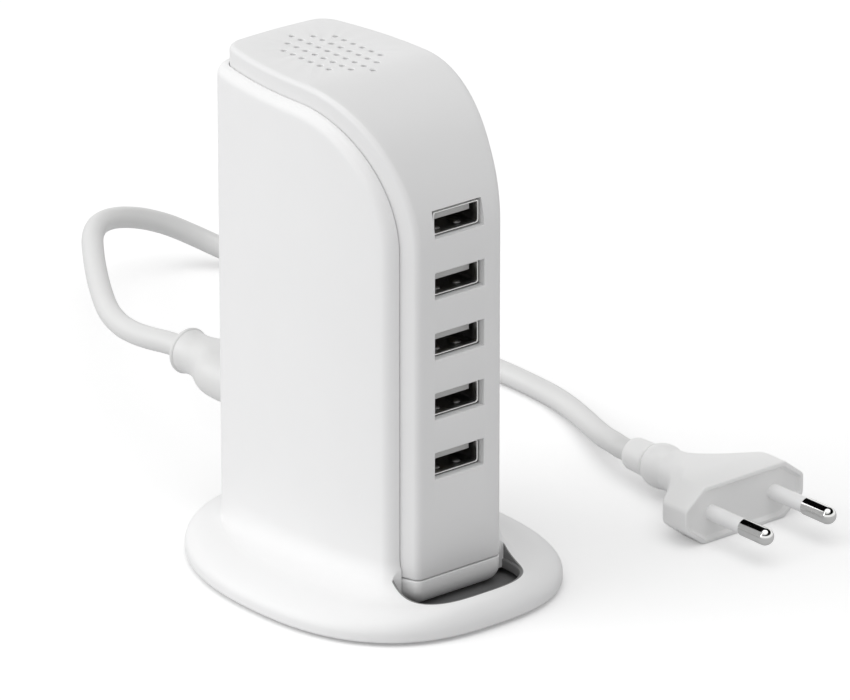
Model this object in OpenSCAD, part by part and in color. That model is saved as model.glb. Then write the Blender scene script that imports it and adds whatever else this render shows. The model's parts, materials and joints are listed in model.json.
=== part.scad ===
// Desktop charger with five stacked USB sockets, standing in a flared sleeve,
// with its plug-in mains lead. Millimetres, +Z up, the sockets face -Y.
// The origin is on the table, under the centre of the base.

/* [Charger block] */
// Height of the block's flat top above the table
block_top = 117; // [110:0.5:128]
// Depth of the block from the socket face to the back
block_depth = 63.8; // [62:0.1:70]
// Width of the block at its widest place
block_w = 35.4; // [34.6:0.1:40]
// Radius of each bulging side, seen from above
side_r = 104; // [90:1:150]
// Distance of the widest place behind the socket face
belly_back = 35; // [32:0.5:38]
// Radius of the slightly bulging back, seen from above
back_r = 120; // [80:1:300]
// Radius of the two upright corners at the back
back_corner_r = 5.5; // [4:0.1:8]
// Radius of the curve from the socket face to the top
nose_r = 32; // [28:0.5:38]
// Radius of the rounded edges of the block
edge_r = 1.2; // [0.6:0.1:1.8]
// Wall of the block's mouldings
block_wall = 2; // [1.6:0.1:2.4]

/* [Bottom cap] */
// Height of the seam between the cover and the bottom cap
cap_line = 10; // [9:0.1:13]
// Width of the seam
cap_seam = 0.3; // [0.1:0.05:0.5]
// Radius of the cap's lower edges
cap_round = 4; // [2:0.1:4.6]
// Height of the lip that enters the cover
cap_lip = 3; // [1:0.1:5]
// Wall of that lip
lip_wall = 1.2; // [0.8:0.1:1.6]

/* [Sockets] */
// Height of the top socket's middle
top_port_z = 91.1; // [88:0.1:96]
// Distance between sockets
port_pitch = 13.85; // [11:0.05:14.5]
// Outer width of a socket's metal shell
port_w = 13.1; // [12.8:0.1:14]
// Outer height of a socket's metal shell
port_h = 5.7; // [5.5:0.1:6.5]
// Sheet of the metal shell
port_sheet = 0.3; // [0.2:0.05:0.4]
// Length of the metal shell
port_len = 14.2; // [12.5:0.1:16]
// Distance of the shell's mouth behind the face
port_set_back = 1.4; // [1.2:0.1:1.8]
// Clearance round the shell in its window
port_gap = 0.2; // [0.1:0.05:0.4]
// Thickness of the tongue that carries the contacts
tongue_t = 1.84; // [1.4:0.02:2]
// Length of the tongue ahead of its rear block
tongue_len = 8.7; // [8:0.1:10.2]

/* [Vents] */
// Diameter of a vent hole
vent_d = 1.3; // [0.8:0.1:2]
// Distance between the rows of holes, across the top
vent_across = 3.6; // [2.6:0.05:4]
// Distance between holes in a row
vent_along = 3.09; // [2.4:0.01:3.4]
// Distance of the rearmost hole behind the socket face
vent_back = 56.9; // [54:0.1:57.5]

/* [Stand sleeve] */
// Wall of the sleeve
sleeve_wall = 2.5; // [2:0.1:3]
// Clearance between the block and the sleeve
sleeve_gap = 0.2; // [0.1:0.05:0.4]
// How far the sleeve's rim lies behind and below the block's edge
rim_drop = 4.4; // [3:0.1:6]
// Radius of the rim's outer rounding
rim_round = 2.3; // [1.5:0.1:2.6]
// Height where the flare runs into the sleeve
flare_top = 14.5; // [13:0.5:20]

/* [Base] */
// Width of the base
base_w = 72; // [68:0.5:90]
// Distance of the base's front edge ahead of the socket face
base_front = 12.5; // [11.5:0.1:18]
// Distance of the base's back edge behind the socket face
base_back = 76.8; // [75:0.1:90]
// Height of the apron round the front opening
shoulder_h = 7; // [6.8:0.1:8]
// Height of the base's upright edge
edge_h = 2.6; // [2:0.1:3.4]
// Gap under the base's edge
edge_gap = 0.8; // [0.5:0.1:1.2]
// Wall of the base's skirt
skirt_wall = 2.2; // [1.8:0.1:2.6]
// Thickness of the dark bottom plate
plate_t = 2.4; // [2:0.1:2.6]
// Half width of the front opening
opening_half_w = 15.2; // [14.6:0.1:16]
// Reach of the front opening ahead of the socket face
opening_front = 7.7; // [6:0.1:8]
// Diameter of a rubber foot
foot_d = 9; // [6:0.5:11]

/* [Mains lead] */
// Height of the inlet's middle above the table
inlet_z = 31.8; // [31.8:0.1:34]
// Distance between the two pins of the inlet
inlet_pitch = 8.6; // [8.6:0.1:9]
// Diameter of an inlet pin
inlet_pin_d = 2.36; // [2:0.02:2.6]
// Diameter of the round cord
cord_d = 5.2; // [4.6:0.1:5.6]
// Distance between the plug's pins
plug_pitch = 18.6; // [17.5:0.1:19.5]
// Diameter of a plug pin
plug_pin_d = 4; // [3.8:0.1:4.2]
// Diameter of a plug pin's insulated part
pin_sleeve_d = 3.6; // [3.4:0.05:3.65]
// Length of a plug pin's insulated part
pin_sleeve_len = 10; // [8:0.1:11]
// Length of a plug pin's metal tip
pin_tip_len = 9; // [8:0.1:10]

/* [Hidden] */
$fn = 48;
PORTS = 5;

// The block stands with its face this far from the origin
face_y = base_front - (base_front + base_back) / 2;
// Plates, chips and joints inside
board_t = 1.6;
seat = 0.1;
eps = 0.02;

// Centre height of the nose curve, and the floor that the block stands on
nose_z = block_top - nose_r;
plate_bottom = edge_gap + 0.2;
plate_top = plate_bottom + plate_t;
cap_bottom = plate_top + seat;

// Centres of the block's side, back and corner arcs, on the +X side
side_c = [block_w / 2 - side_r, belly_back];
back_c = [0, block_depth - back_r];
corner_c = let (
    r1 = side_r - back_corner_r, r2 = back_r - back_corner_r,
    d = norm(back_c - side_c), u = (back_c - side_c) / d,
    a = (r1 * r1 - r2 * r2 + d * d) / (2 * d), h = sqrt(r1 * r1 - a * a))
    side_c + a * u + h * [-u.y, u.x];
to_side = (corner_c - side_c) / norm(corner_c - side_c);
to_back = (corner_c - back_c) / norm(corner_c - back_c);

// How finely the outlines are cut
FRONT_N = 5;
EDGE_N = 4;
SIDE_N = 9;
CORNER_N = 4;
BACK_N = 3;
NOSE_N = 14;
FLARE_N = 7;

// Half width of the block at depth y, grown by g
function side_x(y, g) = side_c.x + sqrt(pow(side_r + g, 2) - pow(y - side_c.y, 2));

// How far an edge of radius e draws in at depth d under the surface
function draw_in(d, e) = d >= e ? 0 : e - sqrt(e * e - pow(e - d, 2));

// Right half of a level outline of the block's form, from the front's middle to the back's.
// g grows the form sideways, drop pulls its front and top in, e rounds its edges.
function half_ring(z, g, drop, e) =
    let (
        rp = nose_r - drop,
        top_d = max(block_top - drop - z, eps),
        a = draw_in(top_d, e),
        turn = acos(1 - min(top_d, e) / e),
        front = [for (k = [0 : EDGE_N]) let (
            d = e * (1 - cos(turn * k / EDGE_N)),
            y = z <= nose_z ? drop + d : nose_r - sqrt(max(0, pow(rp - d, 2) - pow(z - nose_z, 2))))
            [side_x(y, g - draw_in(d, e)), y]],
        y1 = front[EDGE_N].y,
        y2 = side_c.y + (side_r + g - a) * to_side.y,
        rc = back_corner_r + g - a,
        f1 = atan2(to_side.y, to_side.x),
        f2 = atan2(to_back.y, to_back.x))
    concat(
        [for (k = [0 : FRONT_N - 1]) [front[0].x * k / FRONT_N, front[0].y]],
        front,
        [for (k = [1 : SIDE_N - 1]) let (y = y1 + (y2 - y1) * k / SIDE_N) [side_x(y, g - a), y]],
        [for (k = [0 : CORNER_N]) let (f = f1 + (f2 - f1) * k / CORNER_N)
            corner_c + rc * [cos(f), sin(f)]],
        [for (k = [1 : BACK_N]) let (f = f2 + (90 - f2) * k / BACK_N)
            back_c + (back_r + g - a) * [cos(f), sin(f)]]);

// The whole closed outline from its right half
function both_sides(h) = concat(h, [for (i = [len(h) - 2 : -1 : 1]) [-h[i].x, h[i].y]]);

function at_z(ring, z) = [for (p = ring) [p.x, p.y, z]];

function block_ring(z, g, drop, e) = at_z(both_sides(half_ring(z, g, drop, e)), z);

// Levels from height z0 up over the nose to the flat top
function nose_levels(drop) = [for (k = [0 : NOSE_N])
    let (z = nose_z + (nose_r - drop) * sin(90 * k / NOSE_N)) min(z, block_top - drop - eps)];

// A closed solid through a stack of outlines that have the same number of points.
// Each end is a fan of triangles round its own middle point.
module skin(rings) {
    n = len(rings[0]);
    m = len(rings);
    points = [for (r = rings) each r];
    polyhedron(
        points = concat(points, [middle(rings[0]), middle(rings[m - 1])]),
        faces = concat(
            [for (i = [0 : n - 1]) [m * n, i, (i + 1) % n]],
            [for (i = [0 : n - 1]) [m * n + 1, (m - 1) * n + (i + 1) % n, (m - 1) * n + i]],
            [for (j = [0 : m - 2], i = [0 : n - 1])
                let (a = j * n + i, b = j * n + (i + 1) % n) each [[a, a + n, b], [b, a + n, b + n]]]),
        convexity = 8);
}

function middle(ring) = let (k = len(ring) / 2) (ring[0] + ring[floor(k)]) / 2;

// The block's form from height z0 up
module block_form(z0, g, drop, e) {
    skin([for (z = concat([z0], nose_levels(drop))) block_ring(z, g, drop, e)]);
}

// A rectangle with round corners, centred
module soft_rect(w, h, r) {
    square([w - 2 * r, h], center = true);
    square([w, h - 2 * r], center = true);
    for (sx = [-1, 1], sy = [-1, 1])
        translate([sx * (w / 2 - r), sy * (h / 2 - r)]) circle(r = r);
}

// Stands a flat shape up so that it is drawn out from y0 to y1
module along_y(y0, y1) {
    translate([0, y1, 0]) rotate([90, 0, 0]) linear_extrude(y1 - y0) children();
}

// A box from its lowest to its highest corner
module slab(lo, hi) {
    translate(lo) cube(hi - lo);
}

// A round bar along +X
module bar_x(d, x0, x1) {
    translate([x0, 0, 0]) rotate([0, 90, 0]) cylinder(d = d, h = x1 - x0);
}

module in_place() {
    translate([0, face_y, 0]) children();
}

// Stand: base outlines
base_mid = 30;
base_half_w = base_w / 2;
front_power = 2.57;
back_power = 2.1;
apron_side = 8.6;
apron_front = 3.9;
apron_back = 7;

// Point of a rounded oval at the same bearing as p, seen from the base's middle
function oval_point(p, half_w, front, back) =
    let (
        d = p - [0, base_mid], f = atan2(d.y, d.x),
        n = d.y < 0 ? front_power : back_power, reach = d.y < 0 ? front : back,
        r = pow(pow(abs(cos(f)) / half_w, n) + pow(abs(sin(f)) / reach, n), -1 / n))
    [0, base_mid] + r * [cos(f), sin(f)];

// The base's outline drawn in by d
function base_outline(ring, d) =
    [for (p = ring) oval_point(p, base_half_w - d, base_front + base_mid - d, base_back - base_mid - d)];

function shoulder_outline(ring, d) =
    [for (p = ring) oval_point(p, base_half_w - apron_side - d,
        base_front + base_mid - apron_front - d, base_back - base_mid - apron_back - d)];

function mix_ring(a, b, t) = [for (i = [0 : len(a) - 1]) a[i] + (b[i] - a[i]) * t];

sleeve_grow = sleeve_gap + sleeve_wall;
sleeve_ring = both_sides(half_ring(flare_top, sleeve_grow, rim_drop, rim_round));
edge_round = 0.6;

// Outer surface of the stand: upright edge, rising apron, hollow flare, sleeve and rim
function stand_rings() = concat(
    [at_z(base_outline(sleeve_ring, edge_round), edge_gap),
     at_z(base_outline(sleeve_ring, 0), edge_gap + edge_round)],
    [for (k = [0 : FLARE_N]) let (f = 90 * k / FLARE_N)
        at_z(mix_ring(base_outline(sleeve_ring, 0), shoulder_outline(sleeve_ring, 0), 1 - cos(f)),
            edge_h + (shoulder_h - edge_h) * sin(f))],
    [for (k = [1 : FLARE_N]) let (f = 90 * k / FLARE_N)
        at_z(mix_ring(shoulder_outline(sleeve_ring, 0), sleeve_ring, sin(f)),
            shoulder_h + (flare_top - shoulder_h) * (1 - cos(f)))],
    [for (z = nose_levels(rim_drop)) block_ring(z, sleeve_grow, rim_drop, rim_round)]);

// Hollow under the base: upright round the bottom plate, then drawn in under the apron
hollow_low = plate_top + seat;
hollow_top = shoulder_h - skirt_wall;
function hollow_rings() = [
    at_z(base_outline(sleeve_ring, skirt_wall), edge_gap - 1),
    at_z(base_outline(sleeve_ring, skirt_wall), hollow_low),
    at_z(shoulder_outline(sleeve_ring, 0.6), max(hollow_top, hollow_low + seat))];

// Outline of the front opening, a blunt arch ahead of the block
opening_power = 3.2;
opening_end = rim_drop - 0.5;
module opening_outline() {
    reach = opening_front + opening_end;
    polygon([for (f = [180 : 7.5 : 360]) let (
        r = pow(pow(abs(cos(f)) / opening_half_w, opening_power)
            + pow(abs(sin(f)) / reach, opening_power), -1 / opening_power))
        [r * cos(f), opening_end + r * sin(f)]]);
}

// Screw bosses under the apron hold the bottom plate
boss_d = 6;
screw_d = 2.6;
screw_head_d = 5;
screw_head_h = 1.2;
screw_len = 5.4;
boss_spots = [[-24, 12], [24, 12], [-20, 58], [20, 58]];
foot_spots = [[-20, 1], [20, 1], [-22, 47], [22, 47]];
foot_recess = 0.8;

hatch_w = 20;
hatch_h = 12.6;
hatch_r = 5.6;

module stand_shell() {
    color("white") in_place() difference() {
        union() {
            difference() {
                skin(stand_rings());
                skin(hollow_rings());
            }
            for (p = boss_spots)
                translate([p.x, p.y, plate_top + seat]) cylinder(d = boss_d, h = shoulder_h - plate_top - 1);
        }
        block_form(edge_gap - 2, sleeve_gap, -sleeve_gap, edge_r);
        translate([0, 0, edge_gap - 2]) linear_extrude(flare_top) opening_outline();
        for (p = boss_spots)
            translate([p.x, p.y, plate_bottom]) cylinder(d = screw_d, h = screw_len);
        translate([0, 0, inlet_z])
            along_y(block_depth - 6, block_depth + 10) soft_rect(hatch_w, hatch_h, hatch_r);
    }
}

plate_gap = 0.25;
module base_plate() {
    color("dimgray") in_place() difference() {
        translate([0, 0, plate_bottom]) linear_extrude(plate_t)
            polygon(base_outline(sleeve_ring, skirt_wall + plate_gap));
        for (p = boss_spots) translate([p.x, p.y, plate_bottom - 1]) {
            cylinder(d = screw_d + 0.4, h = plate_t + 2);
            cylinder(d = screw_head_d + 0.4, h = 1 + screw_head_h + seat);
        }
        for (p = foot_spots)
            translate([p.x, p.y, plate_bottom - 1]) cylinder(d = foot_d + 0.2, h = 1 + foot_recess);
        for (p = cap_screw_spots) translate([p.x, p.y, plate_bottom - 1]) {
            cylinder(d = screw_d + 0.4, h = plate_t + 2);
            cylinder(d = screw_head_d + 0.4, h = 1 + screw_head_h + seat);
        }
    }
}

// One countersunk screw, head down
module screw(len) {
    cylinder(d = screw_head_d, h = screw_head_h);
    cylinder(d = screw_d - seat, h = len);
}

module shell_screws() {
    color("silver") in_place() for (p = boss_spots)
        translate([p.x, p.y, plate_bottom]) screw(screw_len - 0.3);
}

module rubber_foot(i) {
    p = foot_spots[i - 1];
    color("black") in_place() translate([p.x, p.y, 0])
        cylinder(d = foot_d, h = plate_bottom + foot_recess - seat);
}

// Opening in the back cover for the mains inlet, and how far its pins reach inward
inlet_w = 17.4;
inlet_h = 9;
inlet_r = 4.4;
inlet_depth = 12.5;
inlet_back = block_depth - 0.4;
pin_back = inlet_back - inlet_depth - 3;

// Charger block
rear_window_w = inlet_w + 6.4;
rear_window_bottom = cap_line + cap_lip + 1.5;
rear_window_top = block_top - 9;
post_d = 5;
post_h = 9;
cap_screw_spots = [[0, 8.6], [0, block_depth - 9]];
cap_screw_len = cap_bottom + post_h - plate_bottom - 2.9;

module rear_window(gap) {
    slab([-rear_window_w / 2 + gap, block_depth - block_wall - 2.6, rear_window_bottom + gap],
        [rear_window_w / 2 - gap, block_depth + 2, rear_window_top - gap]);
}

// The hollow moulding that the cover and the back cover are parts of
module block_tube() {
    difference() {
        block_form(cap_line + cap_seam / 2, 0, 0, edge_r);
        block_form(cap_line - 1, -block_wall, block_wall, 0.4);
    }
}

function port_z(i) = top_port_z - (i - 1) * port_pitch;

module port_windows() {
    for (i = [1 : PORTS]) translate([0, 0, port_z(i)])
        along_y(-1, block_wall + 4)
            square([port_w + 2 * port_gap + 0.2, port_h + 2 * port_gap], center = true);
}

// Rows of vents, each two holes shorter than the one nearer the middle
VENT_ROWS = 2;
VENT_LONG = 10;
module vents() {
    for (m = [-VENT_ROWS : VENT_ROWS], n = [abs(m) : VENT_LONG - 1 - abs(m)])
        translate([m * vent_across, vent_back - n * vent_along, nose_z + 1])
            cylinder(d = vent_d, h = nose_r + 1, $fn = 16);
}

module charger_cover() {
    color("white") in_place() difference() {
        block_tube();
        rear_window(0);
        port_windows();
        vents();
    }
}

module back_cover() {
    color("white") in_place() difference() {
        intersection() {
            block_tube();
            rear_window(0.15);
        }
        translate([0, 0, inlet_z])
            along_y(block_depth - block_wall - 3, block_depth + 3) soft_rect(inlet_w, inlet_h, inlet_r);
    }
}

// Rings of the bottom cap, rounded in from its lower edge
CAP_N = 5;
function cap_rings(top, g, drop, r) = concat(
    [for (k = [0 : CAP_N]) let (f = 90 * k / CAP_N, a = r * (1 - sin(f)))
        block_ring(cap_bottom + drop + r * (1 - cos(f)), g - a, drop + a, edge_r)],
    [block_ring(top, g, drop, edge_r)]);

rib_h = 4;
rib_t = 1.2;
module cap_slot(lo, hi) {
    difference() {
        slab(lo - [rib_t, rib_t, 0], hi + [rib_t, rib_t, 0]);
        slab(lo - [0, 0, -seat], hi + [0, 0, 1]);
    }
}

module bottom_cap() {
    floor_z = cap_bottom + block_wall;
    color("whitesmoke") in_place() difference() {
        union() {
            difference() {
                skin(cap_rings(cap_line - cap_seam / 2, 0, 0, cap_round));
                skin(cap_rings(cap_line + 1, -block_wall, block_wall, cap_round - block_wall / 2));
            }
            difference() {
                skin([for (z = [floor_z + 0.5, cap_line + cap_lip])
                    block_ring(z, -block_wall - seat, block_wall + seat, edge_r)]);
                skin([for (z = [cap_bottom, cap_line + cap_lip + 1])
                    block_ring(z, -block_wall - seat - lip_wall, block_wall + seat + lip_wall, edge_r)]);
            }
            cap_slot([-board_half_w - seat, port_board_y - seat, floor_z - 1],
                [board_half_w + seat, port_board_y + board_t + seat, floor_z + rib_h]);
            cap_slot([board_x - board_t - seat, main_y0 - seat, floor_z - 1],
                [board_x + seat, notch_y + seat, floor_z + rib_h]);
            for (p = cap_screw_spots)
                translate([p.x, p.y, cap_bottom + 0.5]) cylinder(d = post_d, h = post_h);
        }
        for (p = cap_screw_spots)
            translate([p.x, p.y, cap_bottom - 1]) cylinder(d = screw_d, h = post_h);
    }
}

module cap_screws() {
    color("silver") in_place() for (p = cap_screw_spots)
        translate([p.x, p.y, plate_bottom]) screw(cap_screw_len);
}

// Boards
port_board_y = port_set_back + port_len;
board_half_w = 11.5;
board_z0 = cap_bottom + block_wall + seat;
port_board_top = top_port_z + 8;
board_x = -8.2;
main_y0 = port_board_y + board_t + 2.6;
main_y1 = block_depth - block_wall - 3.4;
main_top = block_top - block_wall - 9;
notch_y = pin_back - 2.9;
notch_z = 44;

module port_board() {
    color("green") in_place()
        slab([-board_half_w, port_board_y, board_z0],
            [board_half_w, port_board_y + board_t, port_board_top]);
}

module main_board() {
    color("green") in_place() difference() {
        slab([board_x - board_t, main_y0, board_z0], [board_x, main_y1, main_top]);
        slab([board_x - board_t - 1, notch_y, board_z0 - 1], [board_x + 1, main_y1 + 1, notch_z]);
    }
}

// Pin header that joins the two boards, on the side of the main board
link_z = 52;
link_h = 13;
module board_link() {
    color("black") in_place()
        slab([board_x, port_board_y + board_t, link_z], [board_x + 2.5, main_y0 + 3, link_z + link_h]);
}

// Sockets
tongue_w = 11.1;
tongue_drop = 0.72;
insulator_len = 3.2;
contact_w = 1;
contact_t = 0.25;
contact_xs = [-3.5, -1, 1, 3.5];

module usb_shell(i) {
    y0 = port_set_back;
    color("silver") in_place() translate([0, 0, port_z(i)]) difference() {
        along_y(y0, y0 + port_len) soft_rect(port_w, port_h, 0.7);
        along_y(y0 - 1, y0 + port_len + 1)
            soft_rect(port_w - 2 * port_sheet, port_h - 2 * port_sheet, 0.7 - port_sheet / 2);
    }
}

tongue_top = port_h / 2 - port_sheet - tongue_drop;
module usb_tongue(i) {
    y1 = port_set_back + port_len;
    color("white") in_place() translate([0, 0, port_z(i)]) difference() {
        union() {
            along_y(y1 - insulator_len, y1)
                soft_rect(port_w - 2 * port_sheet - 2 * seat, port_h - 2 * port_sheet - 2 * seat, 0.4);
            slab([-tongue_w / 2, y1 - insulator_len - tongue_len, tongue_top - tongue_t],
                [tongue_w / 2, y1 - insulator_len + 0.1, tongue_top]);
        }
        for (x = contact_xs)
            slab([x - contact_w / 2 - seat, y1 - insulator_len - 1, tongue_top - tongue_t - contact_t - seat],
                [x + contact_w / 2 + seat, y1 + 1, tongue_top - tongue_t]);
    }
}

module usb_contacts(i) {
    y1 = port_set_back + port_len;
    color("gold") in_place() translate([0, 0, port_z(i)]) for (x = contact_xs)
        slab([x - contact_w / 2, y1 - insulator_len - tongue_len + 0.8, tongue_top - tongue_t - contact_t],
            [x + contact_w / 2, y1, tongue_top - tongue_t]);
}

// Mains inlet, a figure of eight
lobe_d = 7;
lobe_gap = 0.35;
nose_len = 9;
inlet_front = block_depth - block_wall;

module figure_eight(d, pitch) {
    for (s = [-1, 1]) translate([s * pitch / 2, 0]) circle(d = d);
    square([pitch, d * 0.72], center = true);
}

module inlet_socket() {
    color("white") in_place() translate([0, 0, inlet_z]) difference() {
        union() {
            along_y(inlet_back - inlet_depth, inlet_back)
                soft_rect(inlet_w - 2 * seat, inlet_h - 2 * seat, inlet_r - seat);
            along_y(inlet_front - 2.6, inlet_front - 0.5) soft_rect(inlet_w + 2.4, inlet_h + 3, 2);
        }
        along_y(inlet_back - nose_len - 0.6, inlet_back + 1) figure_eight(lobe_d + 2 * lobe_gap, inlet_pitch);
        for (s = [-1, 1]) translate([s * inlet_pitch / 2, 0, 0])
            along_y(inlet_back - inlet_depth - 1, inlet_back) circle(d = inlet_pin_d);
    }
}

module inlet_pins() {
    color("silver") in_place() for (s = [-1, 1])
        translate([s * inlet_pitch / 2, 0, inlet_z])
            along_y(pin_back, block_depth - 3) circle(d = inlet_pin_d - 0.02);
}

// Two wires rise from the pins' ends to the main board
wire_d = 1.6;
wire_top = notch_z + 4;
module inlet_wires() {
    color("saddlebrown") in_place() for (s = [-1, 1]) {
        x = s * inlet_pitch / 2;
        y = pin_back - wire_d / 2 - seat;
        z1 = wire_top + (s + 1) * 2;
        translate([x, y, inlet_z - 1]) cylinder(d = wire_d, h = z1 - inlet_z + 1, $fn = 16);
        translate([0, y, z1]) bar_x(wire_d, board_x + seat, x, $fn = 16);
    }
}

// Power parts on the main board, each with its seat on the board's face
core_w = 22;
core_h = 24;
core_t = 12;
core_leg = 6;
core_window = [5, 16];
transformer_mid = [board_x + 11.2, main_y0 + 18.2, 66];

module transformer_core() {
    color("dimgray") in_place() translate(transformer_mid) rotate([0, 0, 90]) difference() {
        slab([-core_w / 2, -core_t / 2, -core_h / 2], [core_w / 2, core_t / 2, core_h / 2]);
        for (s = [-1, 1]) translate([s * (core_leg / 2 + core_window.x / 2), 0, 0])
            cube([core_window.x, core_t + 2, core_window.y], center = true);
    }
}

flange_t = 1;
flange_reach = 4;
bobbin_wall = 0.5;
coil_w = core_leg + 2 * core_window.x - 1;
module transformer_bobbin() {
    h = core_window.y - 0.4;
    color("black") in_place() translate(transformer_mid) rotate([0, 0, 90]) difference() {
        union() {
            for (s = [-1, 1]) translate([0, 0, s * (h - flange_t) / 2])
                cube([coil_w, core_t + 2 * flange_reach, flange_t], center = true);
            cube([core_leg + 2 * bobbin_wall + 0.4, core_t + 2 * bobbin_wall + 0.4, h], center = true);
            for (s = [-1, 1]) translate([0, core_t / 2 + flange_reach + 0.5, s * (h - flange_t) / 2])
                cube([coil_w, 1.2, flange_t], center = true);
        }
        cube([core_leg + 0.4, core_t + 0.4, h + 2], center = true);
    }
}

module transformer_winding() {
    h = core_window.y - 0.4 - 2 * flange_t - 2 * seat;
    color("gold") in_place() translate(transformer_mid + [0, 0, -h / 2]) rotate([0, 0, 90])
        linear_extrude(h) difference() {
            soft_rect(coil_w - 0.6, core_t + 2 * flange_reach - 1, 3);
            square([core_leg + 2 * bobbin_wall + 0.6, core_t + 2 * bobbin_wall + 0.6], center = true);
        }
}

// A can capacitor standing on the board, at [y, z]
module can_capacitor(at, d, h) {
    translate([board_x, at.x, at.y]) difference() {
        bar_x(d, 0, h);
        translate([h - 0.4, 0, 0]) bar_x(d - 1.6, 0, 1);
    }
}

bulk_y = main_y0 + 6.2;
bulk_spots = [[bulk_y, 17], [bulk_y, 29]];
output_y = main_y0 + 8.2;
output_spots = [[output_y, 92], [output_y + 10, 92], [output_y + 20, 92]];
module bulk_capacitor(i) {
    color("darkslategray") in_place() can_capacitor(bulk_spots[i - 1], 10, 18);
}
module output_capacitor(i) {
    color("darkslategray") in_place() can_capacitor(output_spots[i - 1], 8, 14);
}

// Ring choke lying on the board, with a winding on each side
choke_spot = [main_y0 + 19.7, 20];
choke_outer = 13;
choke_inner = 7;
choke_h = 6;
wind_t = 1.2;
module choke_place() {
    translate([board_x + wind_t + seat, choke_spot.x, choke_spot.y]) rotate([0, 90, 0]) children();
}
module choke_core() {
    color("darkgreen") in_place() choke_place() difference() {
        cylinder(d = choke_outer, h = choke_h);
        translate([0, 0, -1]) cylinder(d = choke_inner, h = choke_h + 2);
    }
}
module choke_winding() {
    wide = (choke_outer - choke_inner) / 2;
    color("orangered") in_place() choke_place() for (f = [-60, 120])
        rotate([0, 0, f]) rotate_extrude(angle = 120) translate([choke_inner / 2, 0]) difference() {
            translate([-wind_t, -wind_t]) square([wide + 2 * wind_t, choke_h + 2 * wind_t]);
            translate([-seat / 2, -seat / 2]) square([wide + seat, choke_h + seat]);
        }
}

// Box on the board's face from its lowest corner [y, z], with its height off the board first
module board_box(at, size) {
    in_place() translate([board_x, at.x, at.y]) cube(size);
}

line_at = [main_y0 + 12.6, 33.6];
line_size = [9, 6, 11.4];
module line_capacitor() {
    color("gold") board_box(line_at, line_size);
}

fuse_spot = [main_y0 + 14.7, 49.7];
fuse_d = 8;
fuse_h = 6;
module fuse() {
    color("saddlebrown") in_place() translate([board_x, fuse_spot.x, fuse_spot.y])
        bar_x(fuse_d, 0, fuse_h);
}

bridge_at = [main_y0 + 1.2, 38];
bridge_size = [3.2, 10, 6];
module bridge_rectifier() {
    color("black") board_box(bridge_at, bridge_size);
}

// Finned heat sink, with the transistor on its flat side
sink_at = [main_y0 + 1.7, 68];
sink_size = [17, 4, 16];
fin_pitch = 4;
fin_gap = 2;
fin_depth = 2.6;
transistor_size = [10, 0.9, 9];
module heat_sink() {
    color("silver") difference() {
        board_box(sink_at, sink_size);
        for (k = [0 : 3]) translate([fin_gap + k * fin_pitch, 0, 0])
            board_box(sink_at - [1, 1], [fin_gap, fin_depth + 1, sink_size.z + 2]);
    }
}
module power_transistor() {
    color("black") translate([3, 0, 0]) board_box(sink_at + [sink_size.y, 3], transistor_size);
}

// Small chips on the port board's rear face that steer the charging current
chip_size = [5, 1.4, 4];
chip_x = 1.5;
module charge_chips() {
    color("black") in_place() for (i = [1 : PORTS - 1])
        translate([chip_x, port_board_y + board_t, port_z(i) - (port_pitch + chip_size.z) / 2])
            cube(chip_size);
}

// Route of the mains lead, from the connector to the plug's strain relief. It comes down
// from the inlet's height to the table, turns, and runs along the table to the front.
cord_route = [
    [0, 63, 31.8], [0, 66, 31.8], [0, 71, 31.3], [0.1, 77, 30.4], [1, 84, 29.4], [3.2, 91.5, 28.4],
    [7.2, 100.5, 27.4], [13.4, 111, 26], [22.6, 125, 24], [32.4, 139.2, 22], [42.4, 153, 20],
    [47.4, 159.4, 19], [51.7, 164.2, 18.1], [56.2, 168.4, 17.2], [61.5, 171.4, 16.3], [67.2, 172.8, 15],
    [73.1, 172.6, 13.2], [78.8, 170.9, 10.8], [83.7, 167.7, 8], [87.6, 163.4, 5.5], [90.3, 158, 3.8],
    [91.6, 152, 2.9], [91.9, 145, 2.6], [92, 130, 2.6], [92, 116, 2.6], [92.2, 102, 2.6], [92.4, 88, 2.6],
    [92.6, 74, 2.6], [92.8, 62, 2.6], [92.6, 52, 2.6], [91.6, 43, 2.8], [89.4, 34.4, 3.2],
    [86.4, 26.4, 3.8], [83.2, 19, 4.6], [80.2, 12.2, 5.6], [78.4, 7, 6.4], [77.2, 3.2, 6.8],
    [77, 0.8, 6.85], [77, -1, 6.85]];
CORD_SIDES = 8;
cord_end = cord_route[len(cord_route) - 1];

// Unit vector, and the direction of the route at point i
function unit(v) = v / norm(v);
function heading(path, i) = unit(path[min(i + 1, len(path) - 1)] - path[max(i - 1, 0)]);
function tube_ring(p, dir, r, sides) =
    let (across = unit(cross([0, 0, 1], dir)), up = cross(dir, across))
    [for (k = [0 : sides - 1]) let (f = 360 * k / sides) p + r * (cos(f) * up + sin(f) * across)];

// A round tube along a list of points
module tube(path, d, sides) {
    skin([for (i = [0 : len(path) - 1]) tube_ring(path[i], heading(path, i), d / 2, sides)]);
}

module mains_cord() {
    color("gainsboro") tube(cord_route, cord_d, CORD_SIDES);
}

// Ring of 24 points round +Y at depth y: w wide, h high, with corners of radius r
function grip_ring(y, w, h, r) = [for (c = [3 : -1 : 0], k = [5 : -1 : 0]) let (
    f = 90 * c + 18 * k,
    sx = c == 0 || c == 3 ? 1 : -1,
    sz = c < 2 ? 1 : -1)
    [sx * (w / 2 - r) + r * cos(f), y, sz * (h / 2 - r) + r * sin(f)]];

// Lead connector: figure-of-eight nose, flat grip that narrows to a neck, and a collar
grip_w = 18;
grip_h = 11;
grip_front = block_depth + 0.3;
neck_d = 9.6;
collar_d = 10.7;
collar_t = 1.2;
neck_end = cord_route[0].y - face_y - collar_t;

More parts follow.
